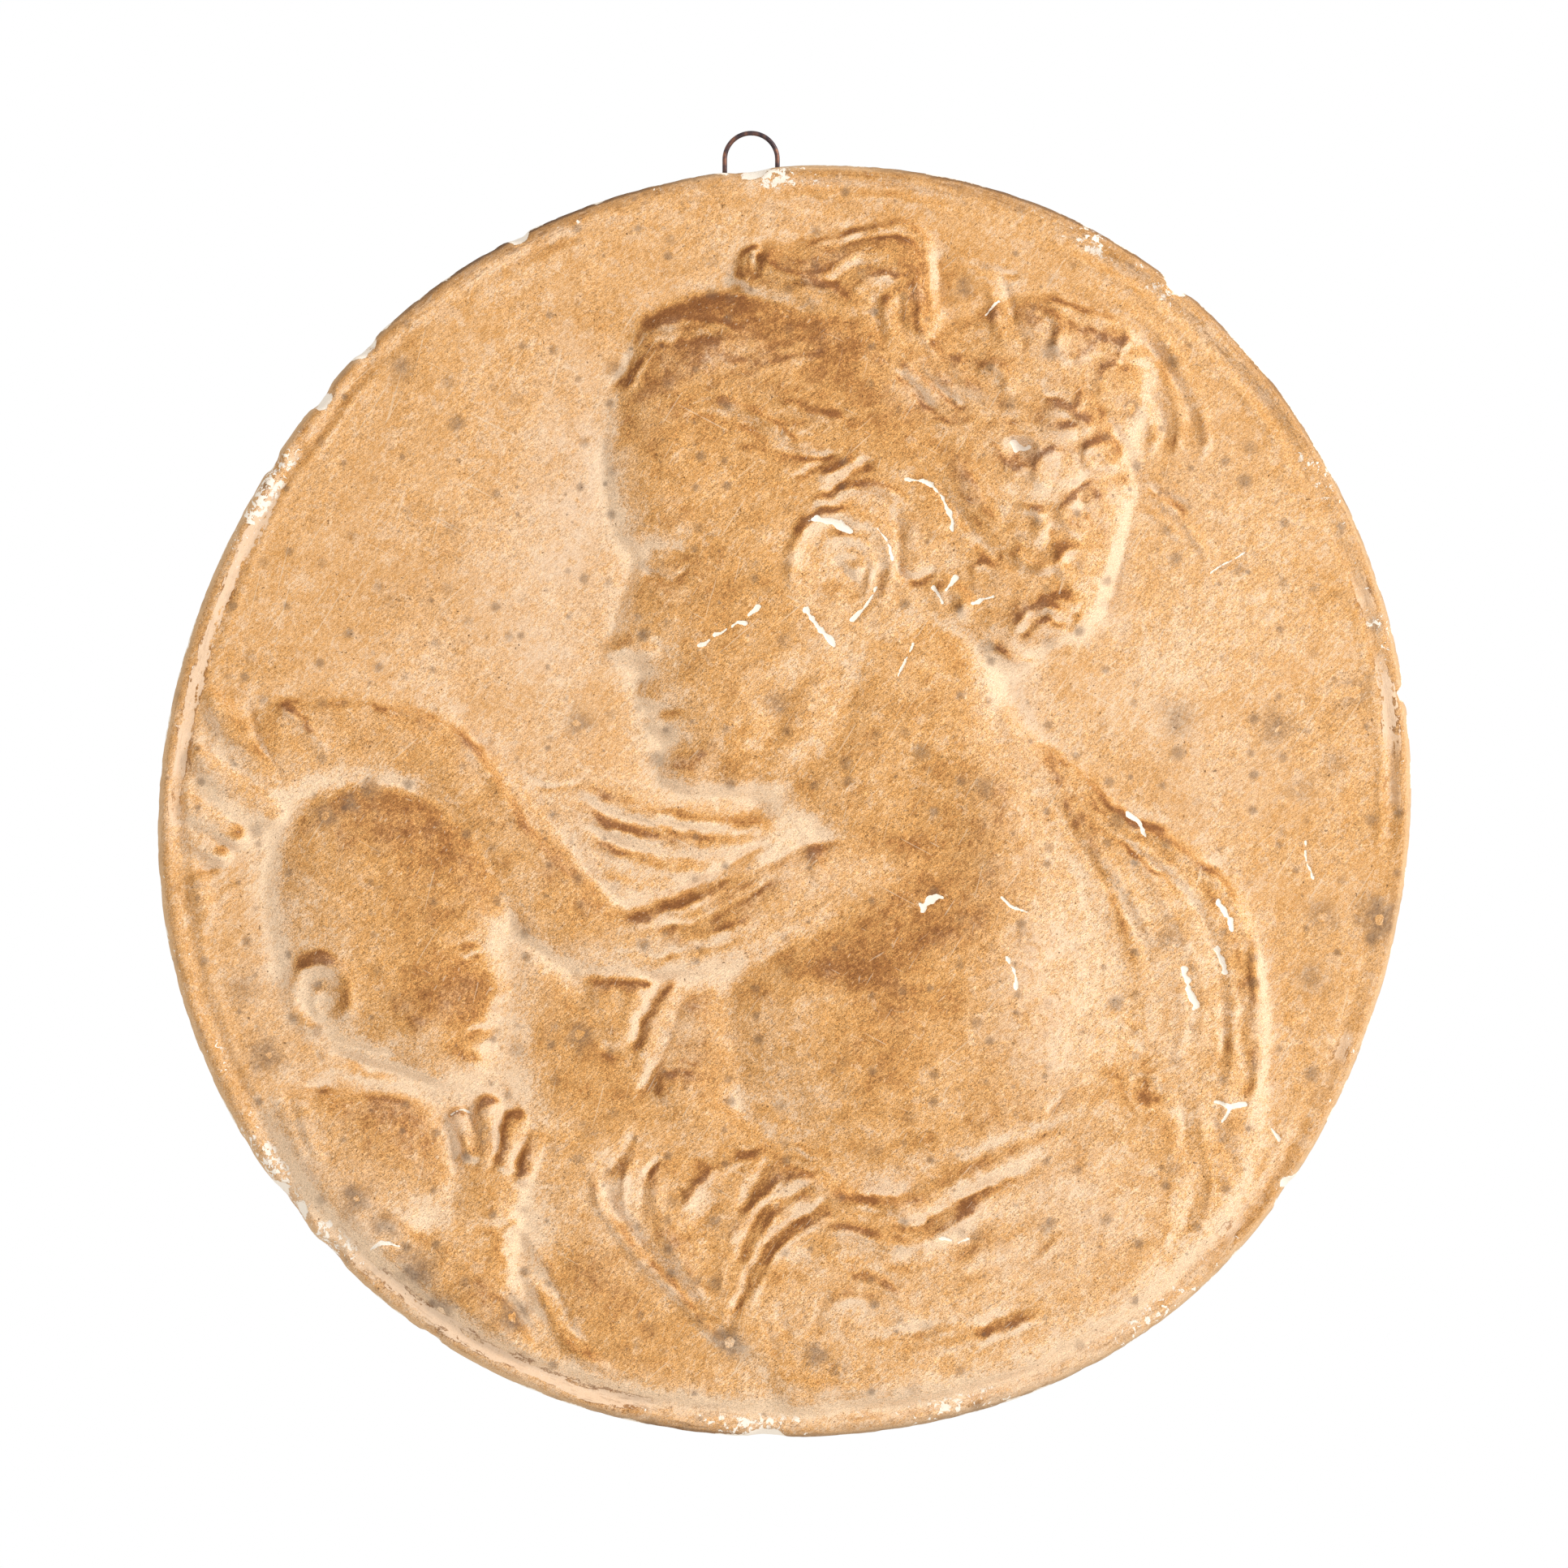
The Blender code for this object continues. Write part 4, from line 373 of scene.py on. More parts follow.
def child(clay):
    # Body and shoulder behind the head
    clay.mass([
        (-82, -46), (-76, -45), (-64, -44), (-57, -47), (-53, -53), (-51, -60), (-49, -68), (-44, -74),
        (-39, -81), (-33, -90), (-38, -98), (-50, -94), (-64, -84), (-74, -74), (-83, -60)], 2.6, 7)
    clay.swells(((-66, -53), (12, 8), 0.8, -15), ((-58, -66), (6, 6), -0.7))
    # Head with a round skull and full cheek
    third = 12.4
    side = profile((-43.5, -7), -8, third, CHILD, 1)
    clay.mass([
        (-46, -4), (-52, 0.5), (-60, 4.3), (-68, 5), (-75, 3), (-80, -3), (-82.5, -12), (-81.5, -21),
        (-78, -30), (-73, -37), (-64, -42), (-56, -45.5)] + side[::-1][1:-1], 3.9, 13, firm=0.8)
    clay.swells(((-62, -12), (15, 13), 0.7), ((-57, -33), (8, 7), 0.9), ((-48, -13), (7, 6), 0.35))
    # Eye nearly shut, small nose, soft mouth
    clay.swells(((-50.5, -22.5), (5, 3.2), -0.75), ((-50.2, -23), (2.6, 1.7), 0.6))
    clay.strokes((
        (-0.5, 0.34, (-53, -23.4), (-50.4, -24.2), (-47.6, -23.4)),
        (0.28, 0.82, (-54, -18.4), (-50, -17), (-46.4, -18)),
        (-0.39, 0.34, (-49.6, -32.4), (-49.4, -30.8), (-47.8, -29.8)),
        (-0.62, 0.37, (-51.4, -36.1), (-49.2, -35.5), (-46.6, -35.5))), taper=0.2)
    clay.swells(
        ((-47.2, -31.2), (2.2, 1.8), 0.45), ((-48.5, -33.9), (2.4, 1.1), 0.3),
        ((-49, -37.3), (2.4, 1.1), 0.3), ((-50, -40.5), (3.6, 2.4), 0.35))
    # Ear
    clay.swell((-73.5, -30.5), (6, 8), -0.6)
    clay.stroke([
        (-69.5, -34.5), (-69.6, -28.5), (-73, -25), (-76.6, -26.2), (-78.2, -30), (-76.4, -34.5),
        (-72.8, -37)], 1.2, 1.2, taper=0.1)
    clay.stroke([(-73.8, -28.6), (-75, -31), (-73.4, -33.8)], 0.9, 0.6)
    clay.swell((-73, -31.5), (2, 2.4), -0.5)
    # Folds of skin below the jaw
    clay.strokes((
        (-0.67, 0.61, (-75, -38.5), (-68, -40.3), (-60, -43), (-53, -44.8)),
        (0.56, 0.61, (-74, -41), (-66, -42.8), (-58, -45)),
        (-0.62, 0.61, (-78, -44.6), (-70, -44.8), (-62, -45.6), (-56, -48)),
        (-0.39, 0.48, (-73, -36.6), (-66, -38.6), (-60, -40.4)),
        (0.45, 0.88, (-77, -44), (-76, -52), (-73, -58)),
        (-0.45, 0.61, (-79.5, -44), (-78, -50), (-74.5, -57.5)),
        (0.34, 1.02, (-70, -60), (-63, -66), (-55, -72))))
    # Thin soft hair
    strands(clay, [(-79, -4), (-76, -9), (-72, -13)], [(-50, -1), (-50, -6), (-53, -11)], 9, 0.6, 0.12, 15)


def small_hand(clay):
    # The child's raised hand and forearm
    clay.limb([
        (-53, -84, 6, 2.0), (-49.5, -76, 5.4, 2.2), (-48, -69, 5, 2.3), (-47.5, -63, 6, 2.4),
        (-47, -59, 5.8, 2.4)], blend=1.4)
    for x0, z0, x1, z1, half in ((-51.8, -49.6, -49.8, -55, 1.7), (-47.2, -47.6, -47.6, -56, 2.1),
                                 (-42.8, -49.8, -44.6, -57, 1.8), (-39.9, -52.8, -41.8, -59, 1.6)):
        clay.limb([(x0, z0, half, 2.3), (x1, z1, half * 1.1, 2.8)], blend=0.6)
    clay.strokes((
        (-0.5, 0.45, (-50.4, -50), (-49.4, -56)), (-0.5, 0.45, (-45.2, -49), (-46, -56.4)),
        (-0.5, 0.45, (-41.8, -52), (-43.2, -58)),
        (-0.6, 0.5, (-44.6, -65), (-42.8, -64.6), (-41.2, -63.4)),
        (-0.3, 1.2, (-51, -66.4), (-47, -67), (-44, -66))))
    clay.swells(((-56, -66), (3.6, 4.8), -0.8), ((-43.4, -69), (3.0, 4.2), -0.5))
    clay.strokes((
        (0.5, 0.7, (-46, -67.6), (-43, -66.4), (-40.6, -69), (-38, -73.4), (-36, -78)),
        (-0.35, 0.6, (-45.6, -69.6), (-44, -72), (-43.6, -74.6))))
    # Edge of the child's sleeve
    clay.strokes((
        (0.9, 0.68, (-44, -73), (-40.5, -76), (-38.3, -80), (-36, -84.6), (-32, -88), (-26, -89.6)),
        (-0.78, 0.61, (-47, -76), (-43, -79), (-41, -83), (-38, -87.6)),
        (-0.56, 0.54, (-39, -73.4), (-36.6, -78), (-34.4, -83), (-30, -86.6)),
        (0.34, 0.54, (-49, -80), (-44, -84), (-40, -89))))


def middle(clay):
    clay.mass([
        (-42, -22), (-28, -29), (-18, -28), (-10, -30), (-8, -44), (-6, -54), (-10, -60), (-9, -70),
        (-5, -80), (2, -92), (6, -101), (-8, -103), (-24, -101), (-37, -95), (-41, -80), (-42, -66),
        (-43, -52), (-44, -38)], 1.9, 8, blend=1.2)
    clay.swells(((-12, -36), (7, 9), 0.8), ((-31, -68), (7, 16), 0.5))
    # A cloth end that hangs to a point, a ribbon beside it and the small fist below
    clay.mass([
        (-33, -27.6), (-21.5, -27.6), (-22.6, -34), (-26.5, -41), (-30.5, -36.5)], 2.5, 3.5, blend=0.8)
    clay.swell((-27, -33), (3, 3.6), -0.6)
    clay.strokes((
        (0.78, 0.95, (-17.4, -26.6), (-19.6, -31.5), (-22, -36.5), (-24.4, -41)),
        (-0.67, 0.54, (-20.6, -28.6), (-22.8, -33.4), (-25.4, -39)),
        (-0.78, 0.75, (-16.4, -29.5), (-17.8, -34.4), (-19.8, -39), (-22.8, -44), (-23.4, -47)),
        (-0.39, 0.82, (-30, -37), (-28, -38.8), (-25.4, -38))))
    clay.mass([
        (-21.5, -42.4), (-18.5, -40.4), (-14.5, -40.4), (-12.4, -43.5), (-14, -47), (-19, -48.4),
        (-22, -46.4)], 3.3, 3.4, blend=0.8)
    clay.strokes((
        (-0.39, 0.34, (-19.2, -42.6), (-18.8, -46)), (-0.39, 0.34, (-17, -42), (-16.6, -45.6)),
        (-0.34, 0.34, (-14.9, -42.4), (-14.6, -45)),
        (0.39, 0.41, (-18.8, -41.2), (-16, -40.7), (-13.6, -42.2))))
    clay.limb([(-17, -47, 3.4, 2.4), (-12, -52, 5, 2.3), (-5, -57, 6, 2.3)], blend=1.2)


def dress(clay):
    # Skirt and bodice below the bare back
    clay.mass([
        (-31, -58), (-25, -53), (-14, -54), (-5, -52.5), (3, -57), (10, -61), (24, -60), (40, -54.5),
        (47, -49), (53, -43), (61, -47), (66, -58), (62, -70), (56, -80), (44, -90), (26, -99), (2, -101),
        (-6, -92), (-10.5, -87), (-15, -82), (-22, -75), (-28, -68)], 2.8, 5.5, blend=0.8)
    clay.swells(
        ((5, -59), (9, 5), 1.0, -30), ((24, -77), (22, 9), 0.7, 12), ((47, -66), (8, 16), 0.5, -15))
    # The hem that crosses the back in two rolls, with a small leaf-shaped fold in its middle
    clay.strokes((
        (1.29, 1.44, (-5, -53.6), (0, -56.8), (6, -60.8), (11, -63.4), (17, -63.6), (24, -61),
         (32, -57.6), (41, -54)),
        (-1.01, 0.68, (14, -66.2), (20, -66.2), (25, -63.4), (31, -60.4), (38, -57.6)),
        (1.06, 0.88, (3, -65.5), (9, -67.5), (16, -69.6), (21, -69), (27, -65.6), (33, -62)),
        (-0.67, 1.36, (6, -70.4), (13, -72.6), (20, -72), (28, -68.4), (36, -63.6)),
        (0.78, 0.48, (9.6, -62.2), (14, -62.9), (18.6, -63.8)),
        (-0.56, 0.41, (10, -64.2), (14, -64.8), (18, -65.2)),
        (-0.56, 0.95, (17, -59.4), (25, -57), (34, -53.6), (44, -50.2), (50, -47.6))))
    # Drape that falls to a point at the left
    clay.strokes((
        (1.01, 0.75, (-31, -57), (-30, -63.4), (-26.4, -68.6), (-20.6, -74.4), (-14.6, -80.6),
         (-9.8, -86)),
        (-1.01, 0.75, (-28.8, -59.6), (-27.4, -64.6), (-23.6, -69.4), (-18, -74.6), (-12.6, -81)),
        (0.56, 0.54, (-24.6, -68.8), (-18.8, -73.6), (-14, -79), (-11.2, -82)),
        (-0.84, 0.54, (-20.6, -55.4), (-22.8, -60), (-23.5, -66.4)),
        (0.67, 0.61, (-24, -54), (-25.6, -60), (-25.8, -66)),
        (-0.56, 0.54, (-24.4, -52), (-27, -56.6), (-28, -59)),
        (0.62, 0.82, (-21, -58), (-20.4, -66), (-16.6, -73), (-12, -79)),
        (0.67, 0.61, (-17, -64), (-14.4, -60), (-10, -57.4), (-5, -55)),
        (-0.56, 0.48, (-9.4, -55), (-7, -54.6), (-5, -54.6))), taper=0.15)
    clay.swells(((-13.6, -64.4), (5.5, 3.2), -1.15, 52), ((-17, -71), (4, 6), 0.5, 20))
    # Folds gathered at the breast
    clay.strokes((
        (-0.87, 0.88, (-2.6, -55.8), (-5.4, -59.6), (-8, -64.4)),
        (0.7, 0.75, (-0.6, -57.6), (-4, -62), (-7.6, -66.6), (-9.6, -71)),
        (-0.79, 0.54, (-3.4, -62), (-5.8, -67), (-8.4, -73)),
        (0.61, 0.48, (-1.6, -63.6), (-4.2, -68.6), (-7, -74)),
        (-0.87, 0.54, (7.4, -61.8), (2, -64.4), (-2, -67.8), (-5.6, -73), (-8, -78.4), (-10, -84)),
        (0.66, 0.54, (8.6, -63.8), (3.4, -66.2), (-0.6, -69.4), (-4, -74.6), (-6.4, -80)),
        (-0.61, 0.48, (5, -60.2), (1, -61.2), (-2.4, -62.8)),
        (0.52, 0.41, (3.6, -59), (0.6, -59.6), (-1.8, -60.8)),
        (-0.52, 0.41, (4.6, -58.6), (1.6, -57.4), (-0.8, -56.8)),
        (0.44, 0.41, (6, -61.8), (1.4, -62.8), (-2, -65)),
        (0.35, 0.61, (-11, -68), (-10, -73), (-10.4, -79))), taper=0.18)
    # Long soft folds of the skirt
    clay.strokes((
        (0.67, 0.54, (10, -75), (14, -75.9), (18.4, -78.8)),
        (-0.62, 0.54, (9.4, -73.6), (14, -74.2), (17.6, -76.6)),
        (0.5, 1.02, (3, -80.6), (8, -77.6), (15, -78.8), (21, -80)),
        (-0.56, 0.61, (4, -84), (4.4, -79.6), (7.4, -77)),
        (-0.56, 0.75, (-2.4, -78), (-1.6, -81.6), (0.4, -84)),
        (-0.45, 0.61, (-4, -80), (-3.4, -84), (-1.8, -87)),
        (-0.5, 1.7, (-1.6, -75), (1, -72.6), (3.6, -70.4)),
        (0.56, 0.61, (29, -85), (35, -82.8), (40.6, -80)),
        (-0.45, 0.82, (28, -82.6), (33, -81), (38, -78.4)),
        (0.34, 0.82, (14, -87), (24, -85.6), (32, -83)), (-0.34, 0.75, (10, -84), (20, -83), (28, -80.6)),
        (0.34, 1.02, (26, -72), (34, -69.6), (42, -64.6)),
        (-0.28, 0.82, (24, -75), (33, -73), (42, -68.6)),
        (0.39, 0.68, (-4, -90), (8, -92.4), (20, -91.6)), (0.34, 0.54, (37, -73), (40, -71), (43, -67)),
        (-0.34, 1.02, (0, -94.6), (14, -94.4), (26, -92))))


def shawl(clay):
    clay.mass([
        (33, 16), (40, 9.5), (47, 4.5), (53, -1.6), (60, -5), (66, -9.5), (71, -14.5), (74, -22),
        (76, -32), (75.5, -44), (74, -56), (70, -66), (64, -74), (55, -82), (44, -80), (46, -64),
        (51, -54), (54, -44), (51, -30), (45, -14), (38, -2), (32, 8)], 2.1, 4.8, blend=1.0)
    # The rolled outer edge and a second line inside it
    clay.strokes((
        (0.84, 0.68, (39, 9), (47, 3.6), (53, -2.4), (59, -5.8), (65, -10), (70, -15.5), (72.6, -22),
         (73.6, -32), (73.6, -42), (72, -52)),
        (-0.73, 0.68, (43, 3), (50, -4), (57, -9.4), (63, -14.6), (66.8, -22), (68.4, -32), (67.6, -44)),
        (-0.45, 0.61, (55, -6.2), (61, -9.6), (66.4, -14.6)),
        (-0.5, 0.7, (71, -30), (71.4, -38), (72.4, -46)),
        (-0.56, 0.61, (74.6, -24), (75.8, -34), (75.2, -46)), (0.4, 0.8, (47, -5), (53, -13), (58, -22)),
        (0.5, 0.7, (61, -27), (62.4, -34), (61, -41)),
        (-0.56, 0.68, (40, 3), (47.6, -9), (54.6, -20), (58.4, -30)),
        (0.45, 0.82, (56, -11), (61.6, -19), (65, -28), (65, -40)),
        (0.39, 0.61, (46, 0), (53, -7), (59, -12.6)), (-0.39, 0.54, (49, -10), (54.4, -17.4), (58, -25)),
        (0.39, 0.54, (68.6, -20), (70, -30), (69.6, -42), (68, -52))), taper=0.15)
    # Gathers where it is bunched at the waist
    clay.strokes((
        (0.45, 0.7, (53.4, -41.6), (56, -42.2), (59, -43.4)),
        (-0.5, 0.5, (54.4, -44.2), (57, -45), (60, -45.6)),
        (0.4, 0.7, (54.6, -47.4), (57.4, -48.6), (59.6, -51.4)),
        (-0.4, 0.5, (53.4, -49.4), (55.6, -51.2), (57.6, -54)),
        (0.35, 0.8, (52, -34.6), (55, -35.8), (58.4, -36)),
        (-0.3, 0.6, (53, -37.6), (56, -38.6), (59, -38.4)),
        (0.35, 0.7, (49.8, -51.2), (53, -52.8), (56, -55.4))))
    clay.strokes((
        (-0.67, 1.61, (44, -82), (48.6, -78), (52, -72.6), (53, -66), (57.4, -58.4)),
        (0.67, 0.61, (49.4, -75.6), (50.2, -68), (48.6, -60), (47.4, -53)),
        (0.67, 0.61, (53.4, -71), (55.6, -63.6), (58.4, -57)),
        (-0.56, 0.54, (55.4, -74), (58, -66), (59, -58)),
        (0.67, 0.68, (56.8, -74), (59.6, -66), (60.4, -57), (60, -48)),
        (-0.73, 0.54, (60.4, -71), (63, -63), (62.4, -51), (61.6, -43)),
        (0.56, 0.75, (63.6, -70), (66, -62), (65, -50), (63, -41)),
        (-0.56, 0.61, (66, -48), (69.2, -55), (70.4, -61)),
        (0.45, 0.61, (67.6, -44), (70.6, -52), (72, -58)), (0.39, 0.61, (65, -72), (70, -66), (73, -58)),
        (0.45, 0.82, (43, -74), (46.6, -68), (45.6, -58)),
        (-0.45, 0.68, (46, -78), (48.4, -70), (47.4, -62)),
        (-0.45, 0.61, (50, -51), (54, -53), (56.6, -55.6)),
        (0.45, 0.54, (49, -54), (53, -56), (55, -60))))


def head(clay):
    hairline, lean, third = (-30.5, 62.5), 11, 20.8
    side = profile(hairline, lean, third, WOMAN, -1)
    clay.mass(side + [
        (-6, 2), (0, 8), (4, 16), (14, 20), (26, 24), (34, 22), (44, 34), (48, 50), (44, 66), (30, 74),
        (14, 80), (-2, 81.5), (-14, 79.5), (-23, 75.5), (-26, 69.5)], 3.6, 12, firm=0.75)
    clay.swells(((-4, 34), (18, 22), 0.7), ((-8, 17), (10, 12), 0.4), ((-20, 54), (10, 10), 0.45))
    # Edge of the jaw, from the chin back to below the ear
    clay.strokes((
        (0.5, 2.04, (-13, 3), (-5, 6), (1, 12), (4.5, 20), (5, 27)),
        (-0.9, 2.55, (-14, -1.5), (-3, .5), (5, 8), (9.5, 16), (10, 25))))
    c, s = math.cos(math.radians(lean)), math.sin(math.radians(lean))

    def at(down, back):
        """A place on the face, in thirds down from the hairline and back from the side line."""
        return (hairline[0] + third * (back * c + down * s), hairline[1] + third * (back * s - down * c))

    # Brow, lowered lid, nostril and lips, each on its line in the thirds
    clay.swells(
        (at(1.0, .36), (8, 2.4), 0.40, 14), (at(1.22, .27), (6.6, 3.8), -1.0, 8),
        (at(1.27, .27), (4.0, 2.5), 0.95, 5))
    clay.strokes((
        (-0.55, 0.55, at(1.27, .09), at(1.345, .20), at(1.35, .34), at(1.29, .47)),
        (-0.35, 0.5, at(1.17, .12), at(1.12, .25), at(1.16, .40), at(1.23, .50)),
        (0.2, 0.9, at(1.44, .14), at(1.49, .28), at(1.43, .44))), taper=0.2)
    clay.swell(at(1.90, .01), (2.3, 1.8), 0.75)
    clay.strokes((
        (-0.45, 0.6, at(1.97, .11), at(1.88, .13), at(1.80, .08)),
        (-0.6, 0.6, at(1.985, -.09), at(2.0, .0)),
        (-0.75, 0.55, at(2.355, -.03), at(2.345, .09), at(2.375, .20)),
        (-0.2, 0.8, at(2.04, -.03), at(2.14, -.05))), taper=0.2)
    clay.swells(
        (at(2.27, .05), (3.2, 1.3), 0.50, 11), (at(2.45, .04), (2.9, 1.4), 0.55, 11),
        (at(2.38, .23), (1.5, 1.5), -0.35), (at(2.60, .08), (3.2, 1.5), -0.35),
        (at(2.84, .12), (4.4, 3.6), 0.55), (at(2.05, .45), (6.5, 8), 0.35))


def ear(clay):
    # A broad round ear that stands in its own hollow
    clay.swell((8, 37), (10, 11), -0.8)
    clay.stroke([
        (3.2, 30.4), (0.4, 34.6), (0.6, 40), (3.6, 44.2), (8.8, 45.4), (13.6, 43.4), (16.2, 39),
        (15.4, 33.6), (12.4, 29.8), (9, 28.6)], 1.0, 0.85, taper=0.25)
    clay.strokes((
        (0.8, 0.61, (4.8, 40.6), (8.2, 42.2), (11.6, 40.6), (13.2, 37), (12, 33), (9.2, 31.4)),
        (0.56, 0.61, (8.6, 40), (11, 38.6), (11.4, 36)),
        (-0.56, 0.54, (6.6, 39), (9, 36.4), (10.6, 34.2))))
    clay.swells(((10.6, 36.4), (2.2, 2.2), 0.7), ((6.8, 32.8), (2.6, 2.4), 0.6))
    # A rounded lock behind it
    clay.swell((21, 42), (4.6, 7), 0.7, turn=-12)
    clay.strokes((
        (-0.9, 0.68, (15.6, 47), (17.6, 43.4), (17.2, 38.6), (18.4, 35.2), (22, 36.2), (25, 40.4)),
        (0.34, 0.48, (19.4, 45), (20, 40.6), (21.8, 38)),
        (-0.34, 0.34, (20.8, 51.6), (23.4, 48.4), (25.6, 43.6))))


def hair(clay):
    # Hair swept up over the head, from the brow to the bun
    clay.mass([
        (-28.4, 62), (-27.2, 66.5), (-24.5, 71.5), (-23, 76), (-18, 78.8), (-10, 80.6), (-3, 81), (6, 83),
        (16, 81), (24, 76), (32, 79), (40, 80.5), (48, 78), (54, 74), (58, 68), (56, 60), (54, 54),
        (54.5, 47), (51.5, 37), (48.6, 29), (41, 23.5), (34, 21), (29, 26), (23, 32), (18, 40), (13, 48),
        (4, 50), (-3, 53.5), (-12, 56), (-22, 59)], 4.0, 13, blend=1.0, firm=0.8)
    clay.swells(((2, 68), (22, 11), 0.6, 4), ((41, 50), (12, 22), 0.5, 10), ((23, 58), (6, 8), -0.6, 30))
    # Faint combing over the crown
    strands(clay, [(-29, 64), (-23, 71), (-13, 77), (-3, 79)], [(-20, 60), (-10, 65), (2, 69), (14, 71)],
            9, 0.6, 0.15, 6)
    strands(clay, [(-18, 60), (-8, 63), (4, 66), (14, 67)], [(-4, 54.6), (4, 56.4), (12, 58.6), (21, 62)],
            8, 0.6, 0.15, 7)
    # Wave of hair over the brow, and the locks drawn back above the ear
    clay.swell((-17, 76.6), (8, 3), 0.8, turn=14)
    clay.strokes((
        (0.67, 0.61, (-24, 74.4), (-19, 76.2), (-12, 75.6), (-7, 73.6)),
        (-0.67, 0.54, (-22.6, 72.4), (-17, 73.6), (-10, 72.6)),
        (-0.56, 0.54, (-28.6, 65), (-25.6, 69), (-24.6, 72.4)),
        (0.45, 0.54, (-27, 64), (-23.6, 68.6), (-21.6, 71.4)),
        (-0.56, 0.61, (-16, 61.2), (-10.6, 61.6), (-5.6, 59.2), (-2, 56.8)),
        (0.56, 0.61, (-14, 63), (-8.6, 62.8), (-3.6, 60.4), (1, 57.2), (8, 56.2)),
        (-0.67, 0.48, (-3, 56.2), (2.4, 55), (8.6, 55)), (-0.45, 0.88, (-12, 71.6), (-8, 71), (-5, 70)),
        (0.78, 0.61, (4, 50.4), (7.6, 52.8), (11.6, 54.2)),
        (-1.01, 0.61, (4.4, 47.6), (8.6, 51.2), (14, 54.8)),
        (0.9, 0.75, (1.6, 46.6), (8, 48.8), (14.6, 49.8), (19.4, 47.4)),
        (-0.56, 0.54, (-1, 51), (3, 52.6), (6, 54)), (0.39, 0.61, (-9, 56.6), (-4, 54.6), (1, 52.8)),
        (0.45, 0.54, (-2, 63.6), (2, 62.4), (8.6, 60.4)),
        (-0.39, 0.34, (7, 63), (8.6, 61.4), (10.2, 60.4))))
    clay.swell((-5.4, 63.2), (3.6, 2), -0.35)
    # Feathered locks that come down from the crown
    clay.strokes((
        (-1.01, 0.48, (16, 68.8), (18.6, 66.4), (21.4, 63.4), (24, 61.4)),
        (0.67, 0.41, (17.6, 69.6), (20.4, 66.6), (23.6, 64)),
        (-0.9, 0.48, (19.4, 69.4), (22.6, 66.4), (26.8, 63)),
        (0.56, 0.41, (21.6, 69), (24, 66.8), (26.6, 64.8)),
        (-0.67, 0.48, (24.6, 64), (26.6, 63), (28.4, 62.6)),
        (0.56, 0.75, (22, 60.6), (26.4, 59.6), (30, 60.8))))


def topknot(clay):
    clay.mass([
        (-8.6, 83.5), (-6.5, 87.5), (0, 88), (5, 89), (10, 90.6), (15, 91.8), (19.4, 91.2), (22, 88.4),
        (22.8, 84), (23, 79.5), (25, 74), (21, 70), (12, 72), (2, 75), (-4, 78.4),
        (-7.6, 80.5)], 3.5, 6, blend=0.9, firm=0.8)
    # The curl at its front, the thin roll that edges it, and its twisted strands
    clay.strokes((
        (0.67, 0.61, (-4.6, 88.4), (-7.6, 86.2), (-8, 83.6), (-6.2, 81.4), (-3.4, 80.6)),
        (-0.9, 0.48, (-4, 87.6), (-5.6, 85), (-5, 82.6)),
        (0.9, 0.54, (-1.8, 88), (-3.8, 86), (-2.8, 84.2), (0.4, 83), (4.4, 81.8), (8.6, 80.2)),
        (-0.67, 0.61, (-1.4, 85.8), (1.4, 85.6), (4, 86.4)),
        (0.9, 0.48, (0, 87.8), (5.4, 88.3), (10, 89.9), (15, 91.2), (19, 90.8), (21.6, 88.6),
         (22.4, 85.6)),
        (-0.78, 0.41, (5, 87), (10, 88.4), (14.6, 89.9), (18.4, 89.7), (20.2, 87.8), (20.6, 85)),
        (0.56, 0.61, (1, 81.6), (6.6, 84), (11, 86.8), (16, 87.6)),
        (-0.56, 0.54, (6, 82), (10, 84.4), (15, 85.4)), (0.56, 0.54, (9.6, 81), (13.6, 83), (17.6, 83)),
        (-0.67, 0.54, (12.8, 80.4), (13.2, 76.6), (14.6, 72.6)),
        (0.67, 0.61, (14.8, 80.6), (15, 76), (17, 71.6)),
        (-0.67, 0.54, (16.8, 80), (17.2, 75.6), (19.4, 71.6)),
        (0.78, 0.61, (19.4, 85), (20, 79.6), (21, 74.6), (24, 70.4)),
        (-0.56, 0.54, (22.8, 87), (23.2, 82), (23, 77)), (0.45, 0.95, (25.4, 84), (26, 79), (28.4, 73.6)),
        (-0.56, 0.61, (33, 84.4), (34.6, 80), (35.6, 75), (37.4, 71.4)),
        (0.45, 0.82, (31.6, 82), (32.4, 77), (33.6, 72)), (-0.45, 0.61, (28, 86), (33, 84.2), (37, 83.2)),
        (0.34, 0.95, (26, 71), (28, 66), (30.6, 63))), taper=0.15)


